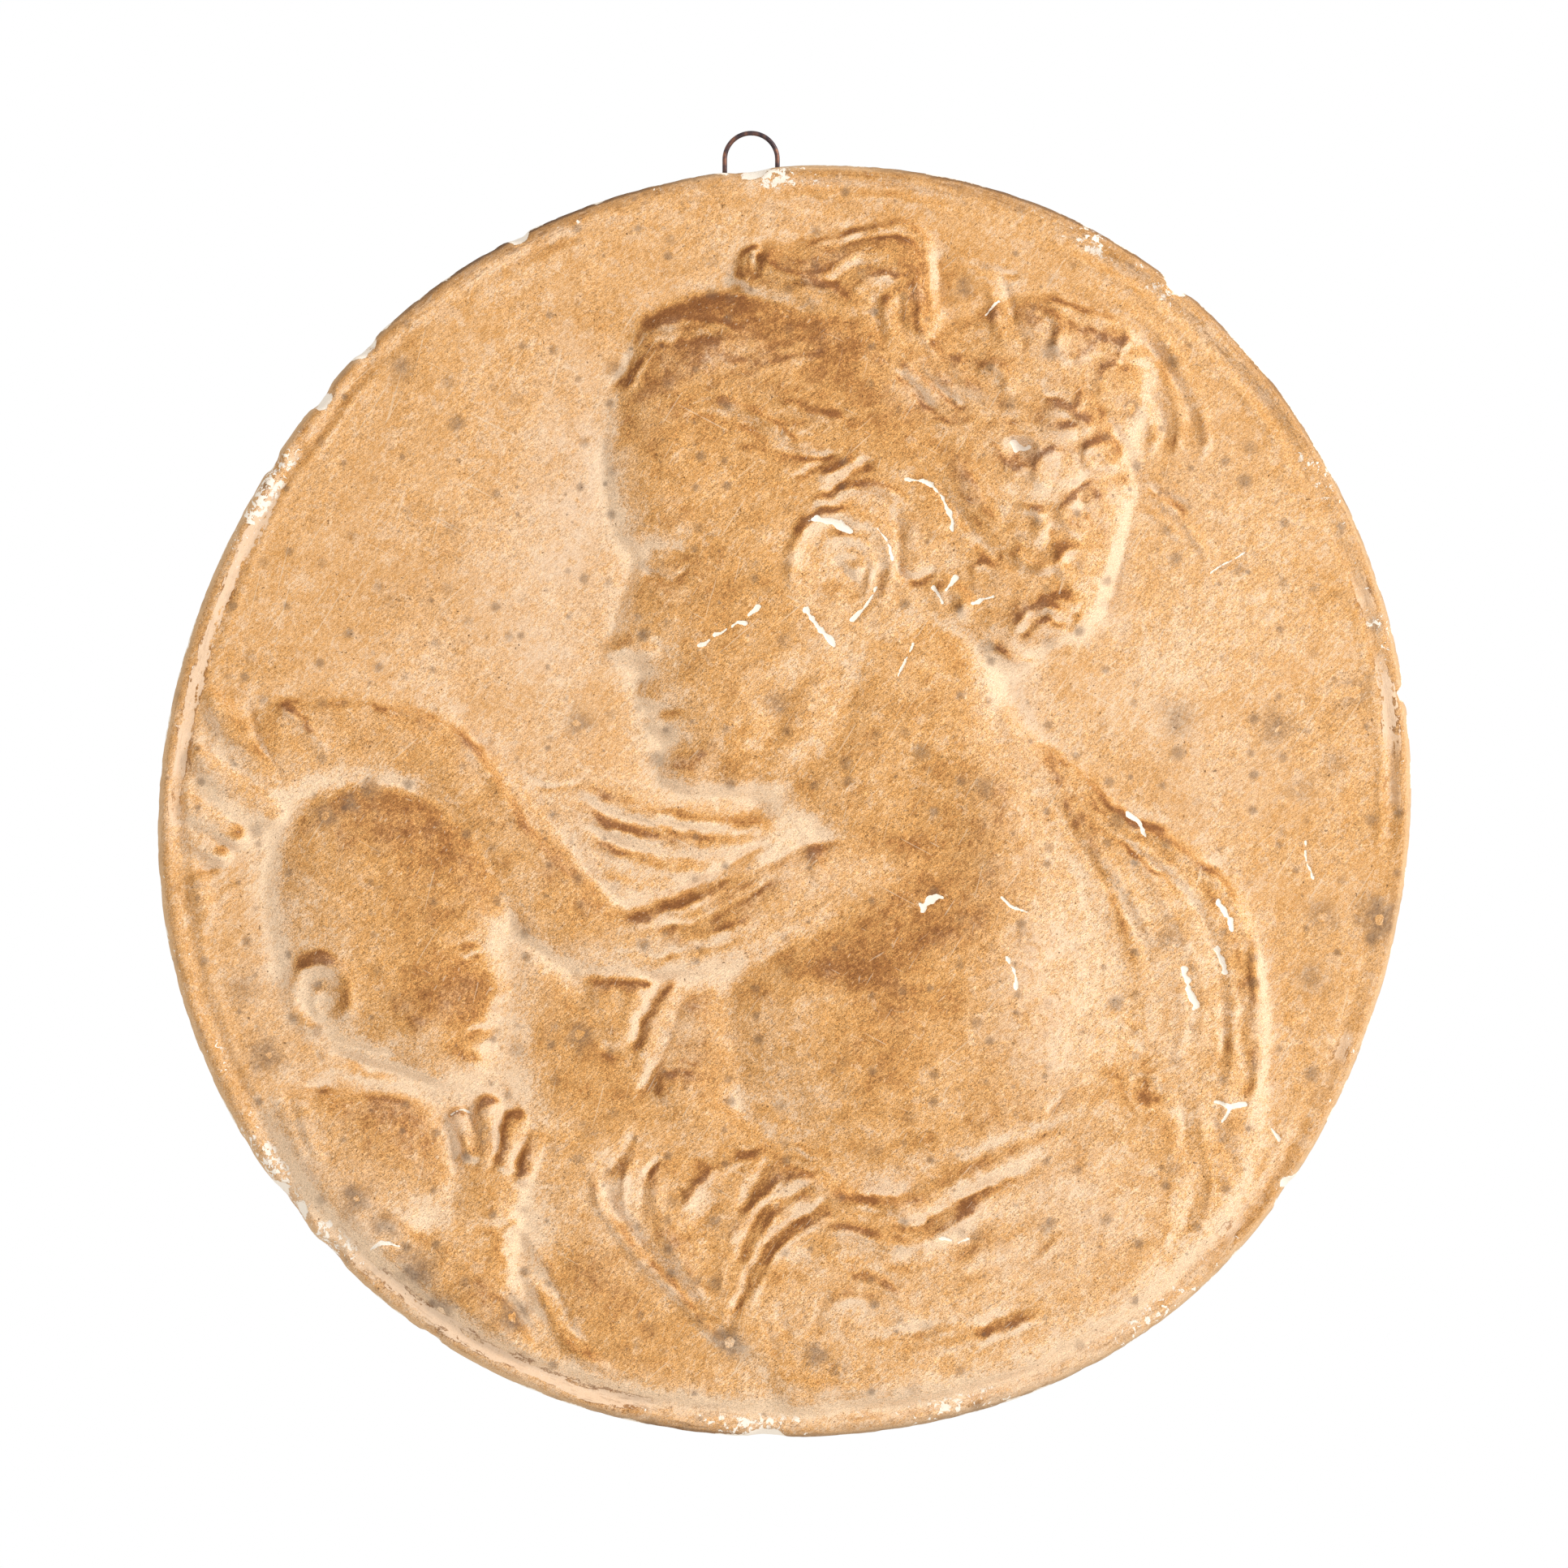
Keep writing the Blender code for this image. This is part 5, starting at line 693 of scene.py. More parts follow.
def curls(clay):
    # The bun: loose lobes with hollows between them, packed round one deep hole
    chance = np.random.default_rng(8)
    for x, z, wide, tall, turn in (
            (46, 73.4, 4.2, 3.4, 10), (52, 74.4, 3.2, 3.6, 60), (40, 74.6, 3.0, 4.4, 0),
            (43.6, 65, 4.4, 3.2, 150), (52.6, 66.6, 3.8, 3.6, 30), (33.6, 66, 3.8, 4.6, 20),
            (43.6, 60, 4.6, 2.8, 170), (49.4, 55.4, 3.6, 3.0, 150), (41.6, 52.4, 4.2, 3.6, 40),
            (38, 44.4, 3.6, 3.2, 120), (45, 45.6, 3.6, 4.4, 70), (38.6, 38.6, 4.0, 2.8, 10),
            (45.4, 37.4, 3.2, 3.8, 50), (38.8, 29.4, 4.6, 2.6, 15), (44.8, 30.4, 3.0, 3.4, 60),
            (30.6, 47.6, 2.4, 7.0, 36), (26.4, 31.6, 3.4, 3.0, 100), (32, 36, 3.2, 2.6, 150)):
        clay.swell((x, z), (wide * 1.25, tall * 1.25), 0.75, turn=turn)
        start = chance.uniform(0, 360)
        sweep = chance.uniform(130, 250) * (1 if chance.random() < 0.5 else -1)
        curl(clay, (x + chance.normal(0, .4), z + chance.normal(0, .4)), (wide * .85, tall * .85), turn,
             start, sweep, chance.uniform(0.6, 0.95), chance.uniform(0.45, 0.85))
    clay.swell((36.4, 55.8), (3.4, 2.8), -2.2, turn=-20)
    clay.strokes((
        (0.78, 0.54, (32.6, 57), (35.6, 58.2), (38.8, 57), (39.6, 54.4)),
        (0.56, 0.54, (33, 54.6), (35.6, 52.8), (38.4, 53)),
        (0.78, 0.75, (25, 55.4), (28.4, 49.8), (32.6, 42.6)),
        (-0.9, 0.48, (28.2, 53), (31, 48.8), (34.8, 43.6)),
        (-0.67, 0.54, (22.6, 51), (25.6, 47), (29.6, 41.6)),
        (-0.67, 0.75, (28, 42.4), (32.6, 39.2), (37, 37)),
        (0.67, 0.54, (36, 41.4), (36.8, 38.2), (39.8, 37.2), (42.4, 39.4)),
        (-0.67, 0.41, (40, 45.4), (41.6, 42.2)), (0.67, 0.68, (36, 46.8), (39, 45.4), (38.2, 41.6)),
        (0.67, 0.88, (39.6, 61.6), (44, 61.2), (48, 58.6)),
        (0.67, 0.68, (46, 56.6), (49.8, 54.4), (51.4, 52)),
        (-0.78, 0.61, (43.6, 49), (47.6, 51.8), (52.4, 51.8)),
        (0.56, 0.68, (47.4, 50), (49.6, 45.6), (50.2, 40), (48.8, 35)),
        (-0.56, 0.54, (45.6, 50), (46.4, 46), (49, 43)),
        (-1.01, 0.82, (48.8, 64.6), (51, 59.4), (53.4, 54.4), (54.8, 49.6), (53.8, 44), (52.2, 38),
         (50.6, 32), (48.6, 27.6)),
        (0.67, 0.54, (35.4, 27.6), (39, 30.4), (43.4, 30.6)),
        (0.67, 0.54, (37, 25.4), (40.6, 27.8), (44, 27.6)), (-0.56, 0.41, (36, 26.4), (40, 29), (44, 29)),
        (0.56, 0.48, (32.6, 24.4), (36, 22.6), (39, 22.4)),
        (-0.67, 0.48, (43, 27), (44.6, 30), (47, 32.6)),
        (-0.67, 0.54, (39, 78), (41.4, 75.6), (41, 71.4)),
        (0.67, 0.48, (40, 80), (43, 78.4), (46.4, 77.4), (49.6, 76.2), (52.4, 76.6)),
        (-0.67, 0.48, (43.6, 76.6), (46.8, 75.4), (50, 74)),
        (0.56, 0.48, (52.6, 76), (53.4, 72.6), (51.6, 69.4)),
        (-0.67, 0.61, (51.6, 68.6), (54.4, 69.4), (57.6, 68)),
        (-0.45, 0.54, (30, 60), (33, 61), (36, 60.6)),
        (-0.45, 0.48, (38.6, 67), (41, 64.6), (46, 62.6))), taper=0.2)
    # Loose locks that fly back over the ground
    clay.strokes((
        (0.78, 0.75, (55, 75), (60.4, 71), (64, 65), (65.8, 58), (64.6, 52)),
        (-0.67, 0.54, (54, 73.6), (59, 69.6), (62.4, 64), (64, 57.4)),
        (0.67, 0.68, (57, 70), (60.4, 65.6), (61.6, 59), (60.4, 53)),
        (-0.56, 0.54, (56, 66.6), (58.8, 62), (59.4, 56)),
        (0.56, 0.68, (54.6, 64), (57, 60.4), (57.4, 55)),
        (-0.67, 0.48, (55, 50.6), (59.6, 48.8), (64, 46)),
        (0.56, 0.54, (56, 49.4), (61, 46.4), (64.4, 41.6), (66, 36.6)),
        (0.45, 0.54, (55, 47), (59, 45), (62.6, 40.6)), (0.5, 0.61, (52, 77.6), (57.4, 75), (61.6, 70.6)),
        (0.45, 0.61, (44, 81), (50, 79.4), (55, 76.6)), (0.39, 0.54, (24.6, 88), (30, 85.6), (36, 84.4)),
        (0.34, 0.61, (51.6, 34), (54, 42), (55.6, 50))))


def rim(clay):
    """The moulded edge: a thin bead, a groove, a rounded land, all worn unevenly."""
    far = np.hypot(clay.u, clay.v) / swerve(np.arctan2(clay.z, clay.x))
    wear = clay.stray(15, 21)
    clay.h *= 1 - smooth_step(93, 97, far)
    for place, width, rise in ((94.8, 0.6, 0.26), (96.5, 0.8, -0.30), (98.3, 0.9, 0.5)):
        across = np.exp(-(((far - place - 0.5 * wear) / width) ** 2))
        clay.h += rise * np.clip(0.8 + 0.9 * wear, 0, 2) * across


def swerve(angle):
    """How far the cast edge strays from a true circle, as a hand-made mould leaves it."""
    return 1 + sum(share * np.cos(lobes * (angle - math.radians(turn)))
                   for lobes, share, turn in OUTLINE_LOBES)


def weather(clay):
    """Handling and a tired mould: folds and locks fade and stand out by turns, and the skin is uneven."""
    soft = clay.blurred(clay.h, 1.7)
    clay.h = soft + (clay.h - soft) * np.clip(0.95 + 0.6 * clay.stray(4.6, 15), 0.3, 1.7)
    handled = smooth_step(0.5, 2.0, clay.h)
    clay.h += handled * (0.10 * clay.stray(5.5, 13) + 0.07 * clay.stray(2.2, 14)
                         + 0.03 * clay.stray(1.2, 16))
    clay.h = clay.blurred(clay.h, 0.28)


def carve(clay):
    """The whole relief, from its ground up."""
    clay.h += 0.16 * clay.stray(26, 3) + 0.08 * clay.stray(11, 4)
    neck_cloth(clay)
    middle(clay)
    body(clay)
    shawl(clay)
    dress(clay)
    arm(clay)
    far_hand(clay)
    child(clay)
    small_hand(clay)
    head(clay)
    hair(clay)
    ear(clay)
    topknot(clay)
    curls(clay)
    weather(clay)
    rim(clay)


def chip_reach(angle):
    """How far the chips reach in from the edge at these angles."""
    turn = np.degrees(angle) % 360
    reach = np.zeros_like(turn)
    for place, half, deep in EDGE_CHIPS:
        away = np.abs((turn - place + 180) % 360 - 180)
        reach = np.maximum(reach, deep * np.exp(-((away / half) ** 4)))
    return reach


def outline_radius(angle):
    """Radius of the cast edge in hundredths of the mean one."""
    return 100 * swerve(angle) - CHIP_BITE * chip_reach(angle)


def disc_places(a, b):
    """Draws a square net out to the unit disc, so that its cells stay nearly even."""
    wide = np.abs(a) >= np.abs(b)
    far = np.where(wide, a, b)
    near = np.where(wide, b, a)
    safe = np.where(far == 0, 1, far)
    angle = np.where(wide, math.pi / 4 * near / safe, math.pi / 2 - math.pi / 4 * near / safe)
    return far * np.cos(angle), far * np.sin(angle)


def sample(clay, field, x, z):
    """A field's value at any places, read between the clay's grid lines."""
    last = len(clay.line) - 2
    u = np.clip((x + REACH) / clay.spacing, 0, last + 0.999)
    v = np.clip((z + REACH) / clay.spacing, 0, last + 0.999)
    i, j = u.astype(int), v.astype(int)
    f, g = u - i, v - j
    return (field[j, i] * (1 - f) * (1 - g) + field[j, i + 1] * f * (1 - g) + field[j + 1, i] * (1 - f) * g
            + field[j + 1, i + 1] * f * g)


def places_of(mesh):
    """Where the mesh's vertices are, as rows of three numbers."""
    flat = np.empty(len(mesh.vertices) * 3, np.float32)
    mesh.vertices.foreach_get("co", flat)
    return flat.reshape(-1, 3).astype(float)


def casting_mesh(clay, cells):
    """The front follows the carved clay, then come the rounded edge, the side and the flat back."""
    work = bmesh.new()
    bmesh.ops.create_grid(work, x_segments=cells, y_segments=cells, size=1)
    net = np.array([v.co[:2] for v in work.verts])
    a, b = disc_places(net[:, 0], net[:, 1])
    share = np.hypot(a, b)
    angle = np.arctan2(b, a)
    radius = outline_radius(angle)
    on_edge = (100 * np.cos(angle), 100 * np.sin(angle))
    crumbled = np.clip(noise(*on_edge, 2.6, 91), 0, 1) + np.clip(noise(*on_edge, 1.1, 92), 0, 1)
    radius = radius - CRUMBLED_BITE * crumbled * smooth_step(0.93, 1.0, share)
    x = share * radius * np.cos(angle)
    z = share * radius * np.sin(angle)
    height = sample(clay, clay.h, x, z) * HEIGHT_UNIT
    inward = np.maximum((1 - share) * radius * UNIT, 0)
    short = np.clip(1 - inward / EDGE_ROUND, 0, 1)
    height -= EDGE_ROUND * (1 - np.sqrt(1 - short * short))
    height -= np.maximum(chip_reach(angle) * UNIT - inward, 0)
    depth = np.round(SLAB_THICKNESS + height, 6)
    for vertex, px, py, pz in zip(work.verts, x * UNIT, -depth, z * UNIT):
        vertex.co = (px, py, pz)
    for inset, level in ((0, BACK_CHAMFER), (BACK_CHAMFER, 0)):
        rim_edges = [e for e in work.edges if e.is_boundary]
        grown = bmesh.ops.extrude_edge_only(work, edges=rim_edges)
        for vertex in [g for g in grown["geom"] if isinstance(g, bmesh.types.BMVert)]:
            shrink = 1 - inset / math.hypot(vertex.co.x, vertex.co.z)
            vertex.co = (vertex.co.x * shrink, -level, vertex.co.z * shrink)
    bmesh.ops.edgeloop_fill(work, edges=[e for e in work.edges if e.is_boundary])
    bmesh.ops.recalc_face_normals(work, faces=work.faces)
    mesh = bpy.data.meshes.new("casting")
    work.to_mesh(mesh)
    work.free()
    return mesh


def link(name, data):
    """Puts a mesh, curve, lamp or camera into the scene under a name."""
    piece = bpy.data.objects.new(name, data)
    bpy.context.scene.collection.objects.link(piece)
    return piece


def applied(piece):
    """Works the object's modifiers into its mesh."""
    result = bpy.data.meshes.new_from_object(piece.evaluated_get(bpy.context.evaluated_depsgraph_get()))
    piece.modifiers.clear()
    piece.data = result


def fewer_facets(piece, limit):
    """Merges facets where the surface is plain until only the limit is left."""
    piece.data.calc_loop_triangles()
    thin = piece.modifiers.new("fewer facets", "DECIMATE")
    thin.decimate_type = "COLLAPSE"
    thin.ratio = limit / len(piece.data.loop_triangles)
    applied(piece)


def give(mesh, name, values):
    """Stores one number for each vertex under a name that a material reads."""
    layer = mesh.attributes.new(name, "FLOAT", "POINT")
    layer.data.foreach_set("value", np.ascontiguousarray(values, np.float32))


def linear(code):
    """A hex colour as the eye sees it, turned to the linear values that a shader wants."""
    parts = [int(code[i:i + 2], 16) / 255 for i in (1, 3, 5)]
    return tuple(c / 12.92 if c <= 0.04045 else ((c + 0.055) / 1.055) ** 2.4 for c in parts) + (1.0,)


def add(tree, kind, links=None, **settings):
    """Adds a node with its properties as settings. Links go to its inputs by number or name: a socket is
    joined, and anything else is set as the input's own value."""
    node = tree.nodes.new(kind)
    for key, value in settings.items():
        if hasattr(node, key):
            setattr(node, key, value)
    for key, value in (links or {}).items():
        if isinstance(value, bpy.types.NodeSocket):
            tree.links.new(value, node.inputs[key])
        else:
            node.inputs[key].default_value = value
    return node


def new_material(name, roughness, metallic=0.0, specular=0.5):
    made = bpy.data.materials.new(name)
    made.use_nodes = True
    shader = made.node_tree.nodes["Principled BSDF"]
    shader.inputs["Roughness"].default_value = roughness
    shader.inputs["Metallic"].default_value = metallic
    shader.inputs["Specular IOR Level"].default_value = specular
    return made, made.node_tree, shader


def aged_plaster():
    """Cast gypsum plaster under an old ochre wash: matte and chalky. The wash is brown where dust has
    settled, and on slopes that face left as painted shade; it is worn to a pinkish beige in hollows and
    along the rim, made paler as painted light on the back's right side, on ridge tops and at the rim's
    outer edge, sandy close up, and white in chips."""
    made, tree, shader = new_material("cast_plaster_patina", 0.86, specular=0.2)
    place = add(tree, "ShaderNodeTexCoord").outputs["Object"]
    stored = {name: add(tree, "ShaderNodeAttribute", attribute_name=name).outputs["Fac"]
              for name in ("dust_and_painted_light", "cream", "foxing", "soot", "bare", "edge_mm", "rim_wear", "rim_crumbled",
                           "rim_dirt")}

    def lumps(size_mm, detail=2.0, rough=0.55, distortion=0.0, where=place, length=1.0, rise=0.0,
              shift=0.0):
        """Random lumps about size_mm across, from 0 to 1, drawn out to a length along a rise in degrees."""
        if length != 1.0:
            where = add(tree, "ShaderNodeMapping", {"Vector": where,
                                                    "Rotation": (0, math.radians(-rise), 0),
                                                    "Location": (shift, 0, 0), "Scale": (length, 1, 1)},
                        vector_type="TEXTURE").outputs[0]
        return add(tree, "ShaderNodeTexNoise", {"Vector": where, "Scale": 1000 / size_mm, "Detail": detail,
                                                "Roughness": rough, "Distortion": distortion}).outputs[0]

    def heaped(start, *layers):
        """A start with each layer's stray from its middle added, times that layer's amount."""
        for layer, amount in layers:
            stray = add(tree, "ShaderNodeMath", {0: layer, 1: amount, 2: -amount / 2},
                        operation="MULTIPLY_ADD").outputs[0]
            start = add(tree, "ShaderNodeMath", {0: start, 1: stray}, operation="ADD").outputs[0]
        return start

    def together(*limits):
        """The product of the limits. Each is a value, or (value, from, to) for a soft step between 0 and 1,
        with two more numbers where the step runs between other ends."""
        result = None
        for limit in limits:
            if isinstance(limit, tuple):
                value, low, high, *ends = limit
                bottom, top = ends or (0.0, 1.0)
                limit = add(tree, "ShaderNodeMapRange", {0: value, 1: low, 2: high, 3: bottom, 4: top},
                            clamp=True, interpolation_type="SMOOTHSTEP").outputs[0]
            if result is None:
                result = limit
            else:
                result = add(tree, "ShaderNodeMath", {0: result, 1: limit}, operation="MULTIPLY").outputs[0]
        return result

    def coat(under, code, *limits):
        """Lays a colour over what is under it, as far as all the limits let it show."""
        return add(tree, "ShaderNodeMix", {0: together(*limits), 6: under, 7: linear(code)},
                   data_type="RGBA").outputs[2]

    # The wash: settled dust with painted light and shade, broken up by clouds, mottling, brush marks and a
    # sandy grain
    mottle = lumps(6.5, 4, 0.6)
    blotch = lumps(2.3, 3, 0.6)
    fine = lumps(0.95, 2, 0.6)
    grit = lumps(0.42, 1, 0.6)
    wash = heaped(stored["dust_and_painted_light"], (lumps(30, 3, 0.6), 0.24), (mottle, 0.34), (blotch, 0.36), (fine, 0.36),
                  (grit, 0.28), (lumps(0.55, 1, 0.5, length=14, rise=40), 0.30),
                  (lumps(0.6, 1, 0.5, length=18, rise=78), 0.20))
    colours = add(tree, "ShaderNodeValToRGB", {0: wash})
    bar = colours.color_ramp
    bar.elements[0].position, bar.elements[0].color = 0.0, linear("#D4B38E")
    bar.elements[1].position, bar.elements[1].color = 1.0, linear("#7B4E2C")
    for spot, code in ((0.22, "#CDA77F"), (0.42, "#C49766"), (0.60, "#B7864E"), (0.78, "#A47240")):
        bar.elements.new(spot).color = linear(code)
    colour = colours.outputs[0]

    # Grains of stronger ochre, worn patches with the painted highlight on ridge tops, and the light and
    # dark of the grains themselves
    colour = coat(colour, "#A66A2B", (lumps(0.46, 1, 0.5, 0.4), 0.56, 0.64),
                  (mottle, 0.35, 0.65, 0.10, 0.34))
    colour = coat(colour, "#CFB59A", (heaped(lumps(4.2, 4, 0.65, 0.6), (wash, -0.35)), 0.56, 0.63), 0.26)
    # Worn greyish cream, together with the painted highlight on ridge tops that the same attribute carries
    creamy = together(stored["cream"],
                      (heaped(lumps(3.0, 4, 0.68, 0.5), (wash, -0.3)), 0.36, 0.60, 0.25, 1.0))
    colour = coat(colour, "#CDB297", creamy, 0.72)
    spread = add(tree, "ShaderNodeSeparateXYZ", {0: place}).outputs
    raised = together((spread[1], -SLAB_THICKNESS - 0.0005, -SLAB_THICKNESS - 0.0025))
    coarse = together((raised, 0.0, 1.0, 1.0, 1.3), (creamy, 0.1, 0.8, 1.0, 0.6))
    grains = heaped(0.0, (lumps(0.36, 1, 0.5, length=4, rise=38), 0.8), (lumps(0.26, 0, 0.5), 1.3))
    sandy = add(tree, "ShaderNodeMath", {0: grains, 1: coarse, 2: 1.0}, operation="MULTIPLY_ADD").outputs[0]
    colour = add(tree, "ShaderNodeVectorMath", {0: colour, "Scale": sandy}, operation="SCALE").outputs[0]

    # Ragged flecks: brown where the wash is thick, chalky where it is thin, both most on the relief
    colour = coat(colour, "#74471F",
                  (heaped(lumps(1.25, 4, 0.72, 0.9), (wash, 0.55), (raised, 0.03)), 0.650, 0.705), 0.40)
    colour = coat(colour, "#DCC3A6",
                  (heaped(lumps(1.5, 4, 0.72, 0.7, length=2.2, rise=52), (wash, -0.55), (raised, 0.04)),
                   0.64, 0.69), 0.32)

    # Hairline scratches, pale, mostly rising to the right
    for rise, width, low, shift in ((58, 0.62, 0.775, 0.0), (41, 0.7, 0.79, 0.4), (76, 0.6, 0.80, 0.9),
                                    (-28, 0.6, 0.82, 1.7)):
        line = lumps(width, 0, 0.5, length=42, rise=rise, shift=shift)
        colour = coat(colour, "#D6C1A6", (line, low, low + 0.05), 0.34)

    # Grey-brown foxing: soft spots of all sizes, thinly strewn, and few dark specks of dirt between them
    flat = add(tree, "ShaderNodeCombineXYZ", {0: spread[0], 1: spread[2]}).outputs[0]
    for cell_mm, low, high, chosen, share in ((8.4, 0.05, 0.24, 0.50, 0.56), (19, 0.03, 0.17, 0.52, 0.52)):
        spot = add(tree, "ShaderNodeTexVoronoi", {"Vector": flat, "Scale": 1000 / cell_mm},
                   voronoi_dimensions="2D").outputs
        lot = add(tree, "ShaderNodeSeparateColor", {0: spot["Color"]}).outputs
        reach = together((lot[0], chosen, 1.0, low, high))
        away = heaped(spot["Distance"], (fine, 0.07))
        outward = add(tree, "ShaderNodeMath", {0: away, 1: reach}, operation="DIVIDE").outputs[0]
        colour = coat(colour, "#5F4A3A", (outward, 1.15, 0.25), (lot[0], chosen - 0.01, chosen),
                      (lot[1], 0.0, 1.0, 0.35, 1.0), share)
    colour = coat(colour, "#4A2E18", (lumps(0.9, 0, 0.5, 0.2), 0.82, 0.86), 0.7)
    colour = coat(colour, "#6A5443", stored["foxing"], (fine, 0.3, 0.7, 0.95, 1.35))
    colour = coat(colour, "#4E3623", stored["soot"], (blotch, 0.35, 0.65, 0.35, 1.2))

    # The rim, laid out along its turn and across its width: a tan bevel, a pale cream band at the very edge
    # that is a painted highlight, a hollow worn to pinkish beige with a ragged brown border, dirt in
    # streaks and at the very edge, and crumbled bare plaster
    edge, dirt = stored["edge_mm"], stored["rim_dirt"]
    on_circle = add(tree, "ShaderNodeVectorMath", {0: flat}, operation="NORMALIZE").outputs[0]
    along = add(tree, "ShaderNodeVectorMath", {0: on_circle, "Scale": 0.085}, operation="SCALE").outputs[0]
    across = add(tree, "ShaderNodeCombineXYZ", {2: together(edge, 0.0036)}).outputs[0]
    rim_place = add(tree, "ShaderNodeVectorMath", {0: along, 1: across}, operation="ADD").outputs[0]
    ragged = heaped(edge, (lumps(7, 3, 0.6, where=rim_place), 7.0), (blotch, 3.4), (fine, 2.2))
    wear = heaped(stored["rim_wear"], (lumps(9, 2, 0.5, where=along), 0.7))
    colour = coat(colour, "#85603E", (ragged, 3.8, 2.4), (edge, 9.0, 6.0), heaped(0.85, (dirt, 1.0)), 0.34)
    # Painted highlight: the outer 2 mm turn pale cream where the rim is clean, standing in for light on the
    # rounded edge that turns away from the key lamp
    colour = coat(colour, "#D6B48C", (edge, 2.2, 0.4), (dirt, 0.7, 0.2), 0.6)
    hollow = together((ragged, 3.4, 3.8), (ragged, 7.2, 6.6), (wear, 0.36, 0.52))
    colour = coat(colour, "#D3B79B", hollow, 0.80)
    border = add(tree, "ShaderNodeMath", {0: together((ragged, 6.8, 7.2), (ragged, 8.0, 7.3)),
                                          1: together((ragged, 2.9, 3.4), (ragged, 3.9, 3.5))},
                 operation="MAXIMUM").outputs[0]
    colour = coat(colour, "#6F4420", border, (wear, 0.25, 0.55), (mottle, 0.42, 0.56), 0.72)
    colour = coat(colour, "#6A4522", (lumps(3.2, 4, 0.68, where=rim_place), 0.54, 0.62), (ragged, 7.5, 4.5),
                  heaped(0.75, (dirt, 1.0)), 0.45)
    colour = coat(colour, "#4A3222", (heaped(edge, (blotch, 1.2)), 1.2, 0.5), (edge, -2.0, -1.0), 0.75,
                  dirt)
    crest = heaped(lumps(2.2, 4, 0.68, 0.5), (stored["rim_crumbled"], 0.20))
    chipped = together((crest, 0.575, 0.60), (edge, 0.2, 1.0), (heaped(edge, (blotch, 4.0)), 7.0, 5.4))
    bare = together((heaped(stored["bare"], (fine, 0.7)), 0.42, 0.62))
    white = add(tree, "ShaderNodeMath", {0: bare, 1: chipped}, operation="MAXIMUM").outputs[0]
    colour = coat(colour, "#E2D6C6", white)
    tree.links.new(colour, shader.inputs["Base Color"])
    tree.links.new(together((wash, 0.2, 0.9, 0.80, 0.92)), shader.inputs["Roughness"])

    # Fine pitting of the cast skin, and the thin step where the wash is gone
    pitting = heaped(0.0, (blotch, 0.5), (fine, 0.5), (grit, 0.4), (hollow, -0.35), (white, -0.6))
    bump = add(tree, "ShaderNodeBump", {"Height": pitting, "Strength": 0.45, "Distance": 0.0004})
    tree.links.new(bump.outputs[0], shader.inputs["Normal"])
    return made


def rusted_wire():
    """Soft iron wire, drawn and long since browned: dark with a low shine and orange rust in patches."""
    made, tree, shader = new_material("dark_iron_wire", 0.45, metallic=0.75)
    place = add(tree, "ShaderNodeTexCoord").outputs["Object"]
    patch = add(tree, "ShaderNodeTexNoise", {"Vector": place, "Scale": 1000 / 2.2,
                                             "Detail": 4.0}).outputs[0]
    bar = add(tree, "ShaderNodeValToRGB", {0: patch})
    bar.color_ramp.elements[0].position, bar.color_ramp.elements[0].color = 0.40, linear("#3B3034")
    bar.color_ramp.elements[1].position, bar.color_ramp.elements[1].color = 0.72, linear("#8A5B44")
    bar.color_ramp.elements.new(0.55).color = linear("#56423F")
    tree.links.new(bar.outputs[0], shader.inputs["Base Color"])
    bump = add(tree, "ShaderNodeBump", {"Height": patch, "Strength": 0.3, "Distance": 0.0001})
    tree.links.new(bump.outputs[0], shader.inputs["Normal"])
    return made


def painted_floor():
    """Matte white studio paint."""
    made, tree, shader = new_material("studio_white_paint", 0.9)
    place = add(tree, "ShaderNodeTexCoord").outputs["Object"]
    soft = add(tree, "ShaderNodeTexNoise", {"Vector": place, "Scale": 1.5, "Detail": 2.0}).outputs[0]
    shade = add(tree, "ShaderNodeValToRGB", {0: soft})
    shade.color_ramp.elements[0].color = linear("#F1F0EE")
    shade.color_ramp.elements[1].color = linear("#F6F5F3")
    tree.links.new(shade.outputs[0], shader.inputs["Base Color"])
    return made


# Foxing spots, each as (across, up, radius, strength)
FOXING = (
    (-61, 69.2, 1.6, .5), (27.5, 81.5, 1.5, .55), (11.6, 84.4, 1.2, .35), (-2.2, 15.7, 1.9, .45),
    (-33.6, 12.9, 1.7, .5), (-66.3, 2.4, 1.7, .55), (-69.2, .1, 1.5, .6), (-73, -1.6, 1.7, .55),
    (61.2, 12.9, 2.1, .45), (76.8, 11.9, 2.6, .5), (89.1, 17.7, 2.6, .4), (93.2, -18.5, 3.6, .6),
    (84.2, -17.8, 2.3, .35), (82.3, -27.4, 2.3, .35), (59.9, -21, 2, .35), (30.4, 2.7, 1.7, .4),
    (-33, -36.4, 2.0, .5), (-82.9, -39.6, 2.4, .5), (-68.2, -62, 2.2, .5), (-58.6, -73.5, 3, .6),
    (-43.6, -80.6, 2.6, .6), (-9.3, -85, 2.3, .6), (4.2, -87, 1.9, .5), (-19, 11.8, 1.0, .3),
    (35, 63, 1.2, .4), (54, 62.5, 1.4, .4), (-27.6, 68.5, 1.2, .4), (3, 78.6, 1.2, .35),
    (86, 6.8, 1.5, .4), (80, 2.4, 1.3, .3), (-48, -52, 1.6, .35), (-55, -80, 2.2, .5),
    (-64, -66, 2.0, .45), (-86, -29, 2.2, .35), (37, -21, 1.6, .3), (8, -89, 1.4, .3), (22, -83, 1.2, .3))
